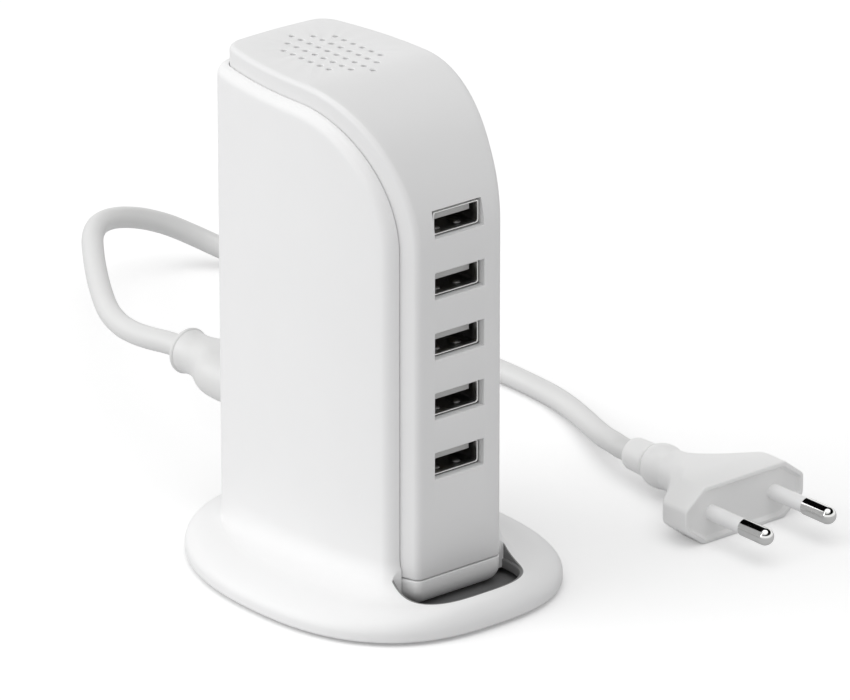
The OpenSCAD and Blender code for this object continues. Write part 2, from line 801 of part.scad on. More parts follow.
// Distance ahead of the collar, width and height of each section of the grip
grip_forms = [[16.5, 18, 11], [14, 17.6, 10.8], [11.5, 16.2, 10.5], [9, 13.6, 10.1], [6.5, 11.2, 9.8],
    [4.5, 10, 9.6], [2.5, 9.6, 9.6], [1, 9.9, 9.9], [0, 10.1, 10.1]];
function connector_rings() = concat(
    [grip_ring(grip_front, grip_w - 1.2, grip_h - 1.2, 4.4), grip_ring(grip_front + 0.6, grip_w, grip_h, 5)],
    [for (g = grip_forms) grip_ring(neck_end - g.x, g.y, g.z, min(g.y, g.z) / 2 - 0.2)],
    [for (c = [[0, 0.6], [0.3, 0], [0.9, 0], [1.2, 0.5]])
        grip_ring(neck_end + c.x, collar_d - c.y, collar_d - c.y, (collar_d - c.y) / 2 - 0.2)]);

module lead_connector() {
    color("gainsboro") in_place() translate([0, 0, inlet_z]) difference() {
        union() {
            along_y(inlet_back - nose_len, grip_front + 1) figure_eight(lobe_d, inlet_pitch);
            skin(connector_rings());
        }
        for (s = [-1, 1]) translate([s * inlet_pitch / 2, 0, 0])
            along_y(block_depth - nose_len - 2, block_depth - 2.6) circle(d = inlet_pin_d + 0.2);
    }
}

// Plug, in its own frame: pins along +X, lying flat, the middle of its face at the origin
plug_w = 35.3;
plug_h = 13.7;
plug_body_len = 24;
relief_len = 14;
plug_turn = -90;
plug_face = [cord_end.x, cord_end.y - plug_body_len - relief_len, plug_h / 2];

module plug_place() {
    translate(plug_face) rotate([0, 0, plug_turn]) children();
}

// Points of the rounded corner at b, between the corners a and c
function round_corner(a, b, c, r) = let (
    u = unit(a - b),
    v = unit(c - b),
    t = acos(u * v) / 2,
    m = b + unit(u + v) * r / sin(t),
    p = b + u * r / tan(t) - m,
    f = atan2(p.y, p.x))
    [for (k = [0 : 2]) m + r * [cos(f + (90 - t) * k), sin(f + (90 - t) * k)]];

// Eight-sided ring round +X at x: w wide, h high, with a flat top, upright ends, and corners of radius r
function plug_ring(x, w, h, top, end, r) = let (
    q = [[w, -end], [w, end], [top, h], [-top, h], [-w, end], [-w, -end], [-top, -h], [top, -h]] / 2)
    [for (i = [0 : 7], p = round_corner(q[(i + 7) % 8], q[i], q[(i + 1) % 8], r)) [x, p.x, p.y]];

// Sections of the plug from the wrist to the face, which is set in inside a sloping border.
// Each is the place, how much narrower and lower than the plug, flat top, upright end, radius.
plug_forms = [[-plug_body_len, 25.7, 4.1, 4, 4, 4.5], [-21.5, 24.9, 3.7, 4.6, 4, 4.3],
    [-18.5, 21.9, 2.9, 6.4, 4.2, 3.8], [-15.5, 16.9, 2.1, 9.6, 4.4, 3.2], [-12.5, 10.7, 1.3, 14.4, 4.6, 2.6],
    [-10, 4.7, 0.7, 19.4, 4.8, 2.1], [-8, 0.9, 0.2, 23, 5, 1.8], [-6.4, 0, 0, 24, 5, 1.6],
    [-0.5, 0, 0, 24, 5, 1.6], [0, 1, 1, 23.5, 4.6, 1.1], [-0.9, 4, 4, 22, 3.6, 0.5]];

module plug_body() {
    color("white") plug_place() difference() {
        skin([for (g = plug_forms) plug_ring(g[0], plug_w - g[1], plug_h - g[2], g[3], g[4], g[5])]);
        for (s = [-1, 1]) translate([-3, s * plug_pitch / 2, 0]) bar_x(pin_sleeve_d, 0, 4);
    }
}

module pin_sleeves() {
    color("white") plug_place() for (s = [-1, 1]) translate([0, s * plug_pitch / 2, 0])
        bar_x(pin_sleeve_d, -3, pin_sleeve_len);
}

module plug_pins() {
    color("silver") plug_place() for (s = [-1, 1])
        translate([pin_sleeve_len, s * plug_pitch / 2, 0]) {
            bar_x(plug_pin_d, 0, pin_tip_len - plug_pin_d / 2);
            translate([pin_tip_len - plug_pin_d / 2, 0, 0]) sphere(d = plug_pin_d, $fn = 32);
        }
}

// Turned form of the strain relief: radius and distance behind the plug's wrist. A barrel,
// a narrow groove and a ring.
relief_form = [[0, relief_len], [3.2, relief_len], [3.8, relief_len - 0.7], [4, 7.4], [3.6, 7.2],
    [3.6, 6.6], [4.2, 6.4], [4.8, 5.8], [5.1, 4.6], [5.2, 3.4], [5, 1.8], [4.5, 0.6], [4.4, 0], [0, 0]];
module plug_relief() {
    color("gainsboro") plug_place() translate([-plug_body_len, 0, 0]) rotate([0, -90, 0])
        rotate_extrude($fn = 32) polygon(relief_form);
}

for (i = [1 : 4]) rubber_foot(i);
for (i = [1 : PORTS]) {
    usb_shell(i);
    usb_tongue(i);
    usb_contacts(i);
}
stand_shell();
base_plate();
shell_screws();
charger_cover();
back_cover();
bottom_cap();
cap_screws();
port_board();
main_board();
board_link();
inlet_socket();
inlet_pins();
inlet_wires();
transformer_core();
transformer_bobbin();
transformer_winding();
bulk_capacitor(1);  // bulk_capacitor_1
bulk_capacitor(2);  // bulk_capacitor_2
output_capacitor(1);  // output_capacitor_1
output_capacitor(2);  // output_capacitor_2
output_capacitor(3);  // output_capacitor_3
choke_core();
choke_winding();
line_capacitor();
fuse();
bridge_rectifier();
power_transistor();
heat_sink();
charge_chips();
lead_connector();
mains_cord();
plug_relief();
plug_body();
pin_sleeves();
plug_pins();
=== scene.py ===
"""Looks of a desktop charger with five stacked sockets in its stand, with its mains lead.

Metres, +Z up. The sockets face -Y and the origin is on the table, under the centre of the base.
Block coordinates have their depth measured from the socket face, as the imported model's source has.
"""

import json
import logging
import math
from dataclasses import dataclass, field
from enum import Enum

import bpy
import numpy as np
from mathutils import Matrix


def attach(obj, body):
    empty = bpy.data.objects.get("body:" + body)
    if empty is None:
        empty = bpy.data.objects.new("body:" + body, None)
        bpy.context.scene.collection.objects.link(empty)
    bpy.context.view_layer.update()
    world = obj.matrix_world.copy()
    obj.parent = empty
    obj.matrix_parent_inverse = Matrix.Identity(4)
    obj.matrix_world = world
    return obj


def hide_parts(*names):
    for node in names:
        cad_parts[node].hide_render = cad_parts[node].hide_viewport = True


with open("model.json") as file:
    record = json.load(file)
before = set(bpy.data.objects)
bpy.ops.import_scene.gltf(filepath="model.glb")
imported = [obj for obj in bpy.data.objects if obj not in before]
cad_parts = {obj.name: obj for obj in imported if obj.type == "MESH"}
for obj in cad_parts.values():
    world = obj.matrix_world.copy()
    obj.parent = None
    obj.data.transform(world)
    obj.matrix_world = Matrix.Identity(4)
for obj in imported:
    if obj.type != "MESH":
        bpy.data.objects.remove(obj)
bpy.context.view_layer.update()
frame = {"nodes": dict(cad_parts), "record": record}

MM = 0.001
SHARP = 38.0  # degrees: smooth shading stops at edges sharper than this
MIX_LOW, MIX_HIGH, MIX_COLOUR = 6, 7, 2  # the Mix node's sockets for colours
LOG = logging.getLogger("charger")
Colour = tuple[float, float, float]
Array = np.ndarray
Piece = bpy.types.Object
Material = bpy.types.Material


class Body(str, Enum):
    """The bodies that a piece can ride on."""

    ROOT = "root"


class Slot(str, Enum):
    """Material slots of the record that new pieces take their finish from."""

    STAND = "stand_white"
    COVER = "cover_white"
    SOCKET_METAL = "socket_steel"
    LEAD = "lead_white"
    PLUG = "plug_white"
    SLEEVE = "pin_sleeve_white"
    PIN = "pin_nickel"


class Wire:
    """A shader socket in sums: an expression on it adds the Math nodes it needs."""

    def __init__(self, tree: bpy.types.NodeTree, socket: bpy.types.NodeSocket) -> None:
        """Args: tree: the material's nodes. socket: the output this stands for."""
        self.tree = tree
        self.socket = socket

    def _math(self, operation: str, first: object, second: object) -> "Wire":
        """One Math node.

        Args:
            operation: the node's operation.
            first: left value, a number or a Wire.
            second: right value, a number or a Wire.

        Returns:
            The node's output.
        """
        node = self.tree.nodes.new("ShaderNodeMath")
        node.operation = operation
        for slot, value in zip(node.inputs, (first, second)):
            if isinstance(value, Wire):
                self.tree.links.new(value.socket, slot)
            else:
                slot.default_value = value
        return Wire(self.tree, node.outputs[0])

    def __add__(self, other: object) -> "Wire":
        """Sum."""
        return self._math("ADD", self, other)

    def __sub__(self, other: object) -> "Wire":
        """Difference."""
        return self._math("SUBTRACT", self, other)

    def __rsub__(self, other: object) -> "Wire":
        """Difference with a number on the left."""
        return self._math("SUBTRACT", other, self)

    def __mul__(self, other: object) -> "Wire":
        """Product."""
        return self._math("MULTIPLY", self, other)

    def __pow__(self, other: float) -> "Wire":
        """Power."""
        return self._math("POWER", self, other)

    def size(self) -> "Wire":
        """This without its sign."""
        return self._math("ABSOLUTE", self, 0.0)

    def between(self) -> "Wire":
        """This, held between 0 and 1."""
        return self._math("MAXIMUM", self.at_most(1.0), 0.0)

    def at_most(self, ceiling: float) -> "Wire":
        """The smaller of this and a number."""
        return self._math("MINIMUM", self, ceiling)


class Paint:
    """A node material that is being built."""

    def __init__(self, name: str) -> None:
        """Args: name: the material's name."""
        self.material = bpy.data.materials.new(name)
        self.material.use_nodes = True
        self.tree = self.material.node_tree
        self.tree.nodes.clear()
        output = self.tree.nodes.new("ShaderNodeOutputMaterial")
        self.surface = output.inputs["Surface"]

    def node(self, kind: str, settings: dict | None = None, inputs: dict | None = None,
             out: str | int = 0) -> Wire:
        """Adds one node.

        Args:
            kind: the node's type without its ShaderNode prefix.
            settings: attributes that are set first.
            inputs: values or Wires by socket name or number.
            out: the output that is returned.

        Returns:
            That output.
        """
        node = self.tree.nodes.new("ShaderNode" + kind)
        for key, value in (settings or {}).items():
            setattr(node, key, value)
        for key, value in (inputs or {}).items():
            if isinstance(value, Wire):
                self.tree.links.new(value.socket, node.inputs[key])
            else:
                node.inputs[key].default_value = value
        return Wire(self.tree, node.outputs[out])

    def place(self) -> Wire:
        """Object coordinates, which are the part's own metres."""
        return self.node("TexCoord", out="Object")

    def along(self, axis: str) -> Wire:
        """One of the coordinates, X, Y or Z."""
        return self.node("SeparateXYZ", None, {"Vector": self.place()}, out=axis)

    def noise(self, size: float, detail: float = 3.0, rough: float = 0.5,
              where: Wire | None = None) -> Wire:
        """Cloudy noise from 0 to 1.

        Args:
            size: width of a cloud in metres.
            detail: number of finer layers.
            rough: weight of the finer layers.
            where: coordinates, the part's own where none are given.

        Returns:
            The noise value.
        """
        inputs = {"Vector": where or self.place(), "Scale": 1.0 / size, "Detail": detail,
                  "Roughness": rough}
        return self.node("TexNoise", None, inputs)

    def blend(self, share: Wire | float, low: Wire | Colour, high: Colour) -> Wire:
        """A colour between low, at share 0, and high, at share 1."""
        start = low if isinstance(low, Wire) else (*low, 1.0)
        sockets = {"Factor": share, MIX_LOW: start, MIX_HIGH: (*high, 1.0)}
        return self.node("Mix", {"data_type": "RGBA"}, sockets, out=MIX_COLOUR)

    def bump(self, height: Wire, depth: float, strength: float = 1.0,
             normal: Wire | None = None) -> Wire:
        """A normal bent by a height.

        Args:
            height: value from 0 to 1.
            depth: metres that 1 stands for.
            strength: share of the effect.
            normal: a normal that this one is added to.

        Returns:
            The bent normal.
        """
        inputs = {"Height": height, "Distance": depth, "Strength": strength}
        if normal is not None:
            inputs["Normal"] = normal
        return self.node("Bump", None, inputs)

    def principled(self, inputs: dict) -> Material:
        """Ends the material in a Principled shader with these inputs."""
        shader = self.node("BsdfPrincipled", None, inputs)
        self.tree.links.new(shader.socket, self.surface)
        return self.material


def tint(colour: Colour, share: float) -> Colour:
    """The colour with its brightness times share, at most white."""
    return tuple(min(1.0, c * share) for c in colour)


def grey(level: float) -> Colour:
    """A colour without hue."""
    return (level, level, level)


@dataclass(frozen=True)
class DepthShade:
    """Painted shade behind an opening that looks towards -Y: a dark colour that takes over with depth,
    standing in for the shade inside.
    """

    face: float
    reach: float
    colour: Colour

    def over(self, paint: Paint, colour: Wire) -> Wire:
        """The colour with none of this painted shade ahead of the face, and all of it from the reach on."""
        share = paint.node("MapRange", {"interpolation_type": "SMOOTHSTEP"},
                           {"Value": paint.along("Y") - self.face, "From Min": 0.0, "From Max": self.reach})
        return paint.blend(share, colour, self.colour)


@dataclass(frozen=True)
class Well:
    """Shade on the walls of the stand's front opening, whose outline is a blunt arch.

    A point is inside where |x / half| ** power + |(y - middle) / reach| ** power is at most slack,
    or a little more above the height of the opening's lip.
    """

    half: float
    reach: float
    middle: float
    power: float = 3.2
    top: float = 15 * MM
    fade: float = MM
    edge: float = 0.3 * MM
    lip: float = 6.2 * MM
    slack: float = 1.04
    more: float = 0.16
    sharp: float = 25.0
    colour: Colour = grey(0.2)

    def over(self, paint: Paint, colour: Wire) -> Wire:
        """The colour with this shade over it, inside the outline and below the top."""
        x, y, z = (paint.along(axis) for axis in "XYZ")
        across = (x * (1 / self.half)).size() ** self.power
        far = across + ((y - self.middle) * (1 / self.reach)).size() ** self.power
        wider = ((z - self.lip) * (1 / self.edge)).between() * self.more
        inside = ((wider + self.slack - far) * self.sharp).between()
        low = ((self.top + self.fade - z) * (1 / self.fade)).between()
        ahead = ((self.middle - y) * (1 / self.edge)).between()
        return paint.blend(inside * low * ahead, colour, self.colour)


@dataclass(frozen=True)
class Moulding:
    """Moulded plastic: an eroded tool's fine grain, faint flow clouding and a few dull handling marks."""

    name: str
    colour: Colour
    rough: float = 0.45
    spread: float = 0.12
    grain: float = 0.25 * MM
    relief: float = 0.006 * MM
    swell: float = 0.012 * MM
    cloud: float = 0.02
    cloud_size: float = 14 * MM
    mark_size: float = 3 * MM
    swell_size: float = 6 * MM
    # painted shade that is blended over the colour, if any
    shade: DepthShade | Well | None = None

    def make(self) -> Material:
        """Builds the material: colour from clouds with any painted shade over it, roughness from marks, normal
        from grain.
        """
        paint = Paint(self.name)
        clouds = paint.noise(self.cloud_size, 4.0, 0.55)
        colour = paint.blend(clouds, tint(self.colour, 1 - self.cloud), tint(self.colour, 1 + self.cloud))
        # painted shade: a dark colour takes over in recesses and hollows
        if self.shade:
            colour = self.shade.over(paint, colour)
        marks = paint.noise(self.mark_size, 5.0, 0.6)
        swell = paint.bump(paint.noise(self.swell_size, 2.0, 0.4), self.swell, 0.6)
        normal = paint.bump(paint.noise(self.grain, 2.0, 0.6), self.relief, 1.0, swell)
        return paint.principled({"Base Color": colour, "Normal": normal,
                                 "Roughness": marks * self.spread + (self.rough - self.spread / 2)})


@dataclass(frozen=True)
class Plating:
    """Plated sheet or turned metal: drawn lines along one axis and cloudy dulling."""

    name: str
    colour: Colour
    rough: float = 0.2
    stretch: Colour = (1.0, 12.0, 1.0)
    relief: float = 0.002 * MM
    line: float = 0.5 * MM
    spot: float = 2.5 * MM
    dull: float = 0.14
    dark: float = 0.86
    shade: DepthShade | None = None

    def make(self) -> Material:
        """Builds the material: lines from noise that is squeezed across the drawing direction."""
        paint = Paint(self.name)
        drawn = paint.node("Mapping", None, {"Vector": paint.place(), "Scale": self.stretch})
        lines = paint.noise(self.line, 3.0, 0.6, drawn)
        dulled = paint.noise(self.spot, 3.0, 0.5)
        colour = paint.blend(dulled, tint(self.colour, self.dark), self.colour)
        # painted shade: the metal darkens with depth behind an opening
        if self.shade:
            colour = self.shade.over(paint, colour)
        normal = paint.bump(lines, self.relief, 0.8)
        return paint.principled({"Base Color": colour, "Metallic": 1.0,
                                 "Roughness": lines * self.dull + self.rough, "Normal": normal})


@dataclass(frozen=True)
class CircuitBoard:
    """Glossy green solder mask, lighter over a net of copper tracks."""

    name: str
    colour: Colour

    def make(self) -> Material:
        """Builds the mask with tracks from the edges of square cells."""
        paint = Paint(self.name)
        cells = paint.node("TexVoronoi", {"feature": "DISTANCE_TO_EDGE", "distance": "EUCLIDEAN"},
                           {"Vector": paint.place(), "Scale": 1.0 / (3.5 * MM), "Randomness": 0.6}, out=0)
        track = paint.node("MapRange", None, {"Value": cells, "From Min": 0.08, "From Max": 0.12,
                                              "To Min": 1.0, "To Max": 0.0})
        colour = paint.blend(track, self.colour, tint(self.colour, 1.9))
        normal = paint.bump(track, 0.03 * MM, 0.8)
        return paint.principled({"Base Color": colour, "Roughness": 0.3, "Normal": normal})


@dataclass(frozen=True)
class Wound:
    """A winding or its tape: fine turns beside each other across the height."""

    name: str
    colour: Colour
    pitch: float = 0.5 * MM
    metal: float = 0.0

    def make(self) -> Material:
        """Builds the turns from a wave along Z."""
        paint = Paint(self.name)
        turns = paint.node("TexWave", {"wave_type": "BANDS", "bands_direction": "Z"},
                           {"Vector": paint.place(), "Scale": 0.05 / self.pitch, "Distortion": 0.3})
        colour = paint.blend(turns, tint(self.colour, 0.6), self.colour)
        return paint.principled({"Base Color": colour, "Roughness": 0.35, "Metallic": self.metal,
                                 "Normal": paint.bump(turns, 0.08 * MM, 0.9)})


FINISHES: dict[str, Moulding | Plating | CircuitBoard | Wound] = {
    # painted shade: the walls of the stand's front opening are darkened to grey
    "stand_white": Moulding("stand_moulding", grey(0.89), rough=0.5, cloud=0.012,
                            shade=Well(15.2 * MM, 11.6 * MM, -28.25 * MM)),
    "cover_white": Moulding("cover_moulding", grey(0.83), rough=0.42, cloud=0.015),
    "base_grey": Moulding("base_moulding", (0.17, 0.17, 0.172), rough=0.5, grain=0.5 * MM, relief=0.02 * MM),
    "foot_rubber": Moulding("foot_rubber", grey(0.03), rough=0.75, grain=0.4 * MM, relief=0.03 * MM),
    "screw_steel": Plating("screw_zinc", (0.6, 0.6, 0.58), rough=0.3),
    "board_green": CircuitBoard("board_mask", (0.02, 0.14, 0.05)),
    "black_plastic": Moulding("part_body", grey(0.02), rough=0.4),
    # painted shade: the socket shells and tongues darken with depth behind their mouths
    "socket_steel": Plating("socket_sheet", (0.92, 0.92, 0.91), rough=0.27,
                            shade=DepthShade(-30.1 * MM, 1.8 * MM, grey(0.36))),
    "socket_white": Moulding("socket_tongue", (0.62, 0.62, 0.61), rough=0.4,
                             shade=DepthShade(-28.3 * MM, 1.6 * MM, grey(0.2))),
    "contact_gold": Plating("contact_gold", (0.8, 0.58, 0.22), rough=0.2),
    "inlet_white": Moulding("inlet_moulding", (0.82, 0.82, 0.81), rough=0.4),
    "pin_nickel": Plating("pin_nickel", (0.8, 0.8, 0.79), rough=0.06, dull=0.06, relief=0.0008 * MM),
    "wire_brown": Moulding("wire_sleeve", (0.2, 0.08, 0.03), rough=0.35),
    "ferrite": Moulding("ferrite", (0.05, 0.05, 0.052), rough=0.6, grain=0.6 * MM, relief=0.04 * MM),
    "ferrite_green": Moulding("ferrite_coat", (0.03, 0.2, 0.08), rough=0.35),
    "winding_tape": Wound("winding_tape", (0.8, 0.6, 0.1), pitch=2 * MM),
    "copper_wire": Wound("copper_turns", (0.7, 0.28, 0.1), metal=1.0),
    "capacitor_can": Moulding("can_sleeve", (0.03, 0.035, 0.05), rough=0.3),
    "capacitor_yellow": Moulding("box_capacitor", (0.75, 0.55, 0.08), rough=0.35),
    "fuse_brown": Moulding("fuse_body", (0.18, 0.08, 0.04), rough=0.4),
    "sink_aluminium": Plating("sink_metal", grey(0.72), rough=0.35),
    "lead_white": Moulding("lead_compound", (0.75, 0.75, 0.745), rough=0.38, cloud=0.012, grain=0.35 * MM),
    "plug_white": Moulding("plug_compound", (0.93, 0.93, 0.925), rough=0.4, cloud=0.012, grain=0.35 * MM),
    "pin_sleeve_white": Moulding("pin_collar", grey(0.93), rough=0.35),
}


class FinishShelf:
    """Makes each finish once and hands it out by slot name."""

    def __init__(self) -> None:
        """Starts empty."""
        self.made: dict[str, Material] = {}

    def get(self, slot: str) -> Material:
        """The finish for a slot, made on first use."""
        if slot not in self.made:
            self.made[slot] = FINISHES[slot].make()
        return self.made[slot]


SHELF = FinishShelf()


def new_piece(name: str, points: Array, quads: Array, tris: Array) -> Piece:
    """Makes an object from arrays of points and faces.

    Args:
        name: the piece's name.
        points: n by 3 places in metres.
        quads: m by 4 corner numbers.
        tris: k by 3 corner numbers.

    Returns:
        The object, linked to the scene.
    """
    mesh = bpy.data.meshes.new(name)
    mesh.vertices.add(len(points))
    mesh.vertices.foreach_set("co", np.ascontiguousarray(points, np.float32).ravel())
    corners = np.concatenate([quads.ravel(), tris.ravel()]).astype(np.int32)
    sizes = np.concatenate([np.full(len(quads), 4), np.full(len(tris), 3)])
    starts = np.concatenate([[0], np.cumsum(sizes)[:-1]]).astype(np.int32)
    mesh.loops.add(len(corners))
    mesh.loops.foreach_set("vertex_index", corners)
    mesh.polygons.add(len(sizes))
    mesh.polygons.foreach_set("loop_start", starts)
    mesh.update(calc_edges=True)
    mesh.validate()
    piece = bpy.data.objects.new(name, mesh)
    bpy.context.scene.collection.objects.link(piece)
    return piece


def grid_faces(rows: int, cols: int, closed: bool = True) -> Array:
    """Quads between neighbouring rows of a grid; closed joins the last column to the first."""
    across = cols if closed else cols - 1
    j, i = np.meshgrid(np.arange(rows - 1), np.arange(across), indexing="ij")
    a, b = j * cols + i, j * cols + (i + 1) % cols
    return np.stack([a, b, b + cols, a + cols], -1).reshape(-1, 4)


def closed_skin(name: str, *skins: Array, loops: tuple[Array, ...] = ()) -> Piece:
    """Closed surfaces through rings of points, each end a fan round its middle.

    Args:
        name: the piece's name.
        skins: for each surface rows by points by 3, anticlockwise seen against the way from ring to ring.
        loops: surfaces whose last ring joins the first instead, as in a tube with a wall.

    Returns:
        One object with all of them.
    """
    points, quads, tris = [], [], []
    start = 0
    for rings in skins:
        rows, cols = rings.shape[:2]
        i = np.arange(cols)
        nxt, low, top = (i + 1) % cols, rows * cols, (rows - 1) * cols
        points += [rings.reshape(-1, 3), rings[0].mean(0)[None], rings[-1].mean(0)[None]]
        quads.append(grid_faces(rows, cols) + start)
        tris += [np.stack([np.full(cols, low), nxt, i], -1) + start,
                 np.stack([np.full(cols, low + 1), top + i, top + nxt], -1) + start]
        start += rows * cols + 2
    for rings in loops:
        rows, cols = rings.shape[:2]
        points.append(rings.reshape(-1, 3))
        quads.append(grid_faces(rows + 1, cols) % (rows * cols) + start)
        start += rows * cols
    return new_piece(name, np.concatenate(points), np.concatenate(quads), np.concatenate(tris))


def spline(rows: Array, per_span: int) -> Array:
    """Rows between the given ones, on a curve through all of them.

    Each span is the cubic whose end slopes are half the chord of its neighbours.
    """
    p = np.vstack([2 * rows[0] - rows[1], rows, 2 * rows[-1] - rows[-2]])
    t = np.linspace(0, 1, per_span + 1)[:-1, None]
    a, b, c, d = p[:-3, None], p[1:-2, None], p[2:-1, None], p[3:, None]
    square, cube = 2 * a - 5 * b + 4 * c - d, 3 * b - a - 3 * c + d
    span = 0.5 * (2 * b + (c - a) * t + square * t ** 2 + cube * t ** 3)
    return np.vstack([span.reshape(-1, rows.shape[1]), rows[-1]])


def ring_at(outline: Array, z: float | Array) -> Array:
    """Stands flat outlines at height z: (..., n, 2) becomes (..., n, 3)."""
    height = np.asarray(z, float)[..., None] + np.zeros(outline.shape[:-1])
    return np.concatenate([outline, height[..., None]], -1)


def carve(piece: Piece, cutters: list[Piece], keep_common: bool = False) -> None:
    """Takes cutters out of a piece, one after another, and removes them.

    Args:
        piece: the closed piece that is cut.
        cutters: closed solids.
        keep_common: keeps what they share with the piece instead.
    """
    for cutter in cutters:
        tool = piece.modifiers.new("cut", "BOOLEAN")
        tool.operation = "INTERSECT" if keep_common else "DIFFERENCE"
        tool.object = cutter
        tool.solver = "MANIFOLD"
        settle(piece)
        mesh = cutter.data
        bpy.data.objects.remove(cutter)
        bpy.data.meshes.remove(mesh)


def settle(piece: Piece) -> None:
    """Applies a piece's modifiers to its mesh."""
    bpy.context.view_layer.update()
    graph = bpy.context.evaluated_depsgraph_get()
    mesh = bpy.data.meshes.new_from_object(piece.evaluated_get(graph))
    old = piece.data
    piece.modifiers.clear()
    piece.data = mesh
    mesh.name = piece.name
    bpy.data.meshes.remove(old)


def smooth(piece: Piece, angle: float) -> None:
    """Shades a piece smooth, apart from edges sharper than the angle in degrees."""
    piece.data.shade_smooth()
    piece.data.set_sharp_from_angle(angle=math.radians(angle))


def finish_piece(piece: Piece, slot: Slot, *nodes: str, angle: float = SHARP) -> Piece:
    """Dresses a piece, puts it on its body and lets it stand for its nodes.

    Args:
        piece: the finished mesh object.
        slot: the record's material slot.
        nodes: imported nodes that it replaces.
        angle: edges sharper than this stay sharp, in degrees.

    Returns:
        The same piece.
    """
    smooth(piece, angle)
    piece.data.materials.clear()
    piece.data.materials.append(SHELF.get(slot.value))
    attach(piece, Body.ROOT.value)
    if nodes:
        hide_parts(*nodes)
    piece.data.calc_loop_triangles()
    LOG.info("%s: %d triangles", piece.name, len(piece.data.loop_triangles))
    return piece


def soft_rect(w: float, h: float, r: float, arc: int = 6) -> Array:
    """Outline of a rectangle with round corners, centred, anticlockwise."""
    turn = np.radians(np.linspace(0, 90, arc + 1))
    parts = []
    for quarter, (sx, sy) in enumerate([(1, 1), (-1, 1), (-1, -1), (1, -1)]):
        f = turn + quarter * math.pi / 2
        parts.append(np.stack([sx * (w / 2 - r) + r * np.cos(f), sy * (h / 2 - r) + r * np.sin(f)], -1))
    return np.concatenate(parts)


def along_y(outline: Array, y: float, centre: tuple[float, float] = (0.0, 0.0)) -> Array:
    """Stands an (x, z) outline up at depth y, for a skin whose rings run towards -Y."""
    return np.stack([outline[:, 0] + centre[0], np.full(len(outline), y), outline[:, 1] + centre[1]], -1)


def circle(sides: int) -> Array:
    """Points round a circle of radius 1, anticlockwise."""
    f = np.linspace(0, 2 * math.pi, sides + 1)[:-1]
    return np.stack([np.cos(f), np.sin(f)], -1)


def turned(rows: Array, centre: tuple[float, float], sides: int = 48) -> Array:
    """Rings of a round form along -Y, from rows of depth and radius."""
    return np.stack([along_y(circle(sides) * r, y, centre) for y, r in rows])


def blunt_oval(f: Array, half: float, reach: float, power: float) -> Array:
    """Points at bearings f of |x/half|^power + |y/reach|^power = 1."""
    c, s = np.cos(f), np.sin(f)
    r = ((np.abs(c) / half) ** power + (np.abs(s) / reach) ** power) ** (-1 / power)
    return np.stack([r * c, r * s], -1)


def rounding(radius: float, steps: int, first: float = 0.0, last: float = 90.0) -> list[tuple[float, float]]:
    """Steps round an edge, as distances from the two faces that it joins.

    Args:
        radius: the edge's radius.
        steps: number of steps.
        first: bearing of the first place in degrees.
        last: bearing of the last place in degrees.

    Returns:
        Pairs of radius * (1 - sine) and radius * (1 - cosine) of the bearings.
    """
    return [(radius * (1 - math.sin(a)), radius * (1 - math.cos(a)))
            for a in np.radians(np.linspace(first, last, steps + 1))]


def cut_rect(w: float, h: float, top: float, end: float, r: float, arc: int = 5) -> Array:
    """Outline of a rectangle with its corners cut off and rounded, centred, anticlockwise.

    Args:
        w: width.
        h: height.
        top: width of the flat top.
        end: height of the upright ends.
        r: radius of the eight corners.
        arc: steps in each corner.
    """
    q = np.array([[w, -end], [w, end], [top, h], [-top, h], [-w, end], [-w, -end], [-top, -h], [top, -h]]) / 2
    u, v = np.roll(q, 1, 0) - q, np.roll(q, -1, 0) - q
    u, v = u / np.linalg.norm(u, axis=1)[:, None], v / np.linalg.norm(v, axis=1)[:, None]
    half = np.arccos((u * v).sum(1)) / 2
    middle = q + (u + v) / np.linalg.norm(u + v, axis=1)[:, None] * (r / np.sin(half))[:, None]
    start = q + u * (r / np.tan(half))[:, None] - middle
    turn = (math.pi - 2 * half)[:, None] * np.linspace(0, 1, arc + 1)
    f = np.arctan2(start[:, 1], start[:, 0])[:, None] + turn
    return (middle[:, None] + r * np.stack([np.cos(f), np.sin(f)], -1)).reshape(-1, 2)


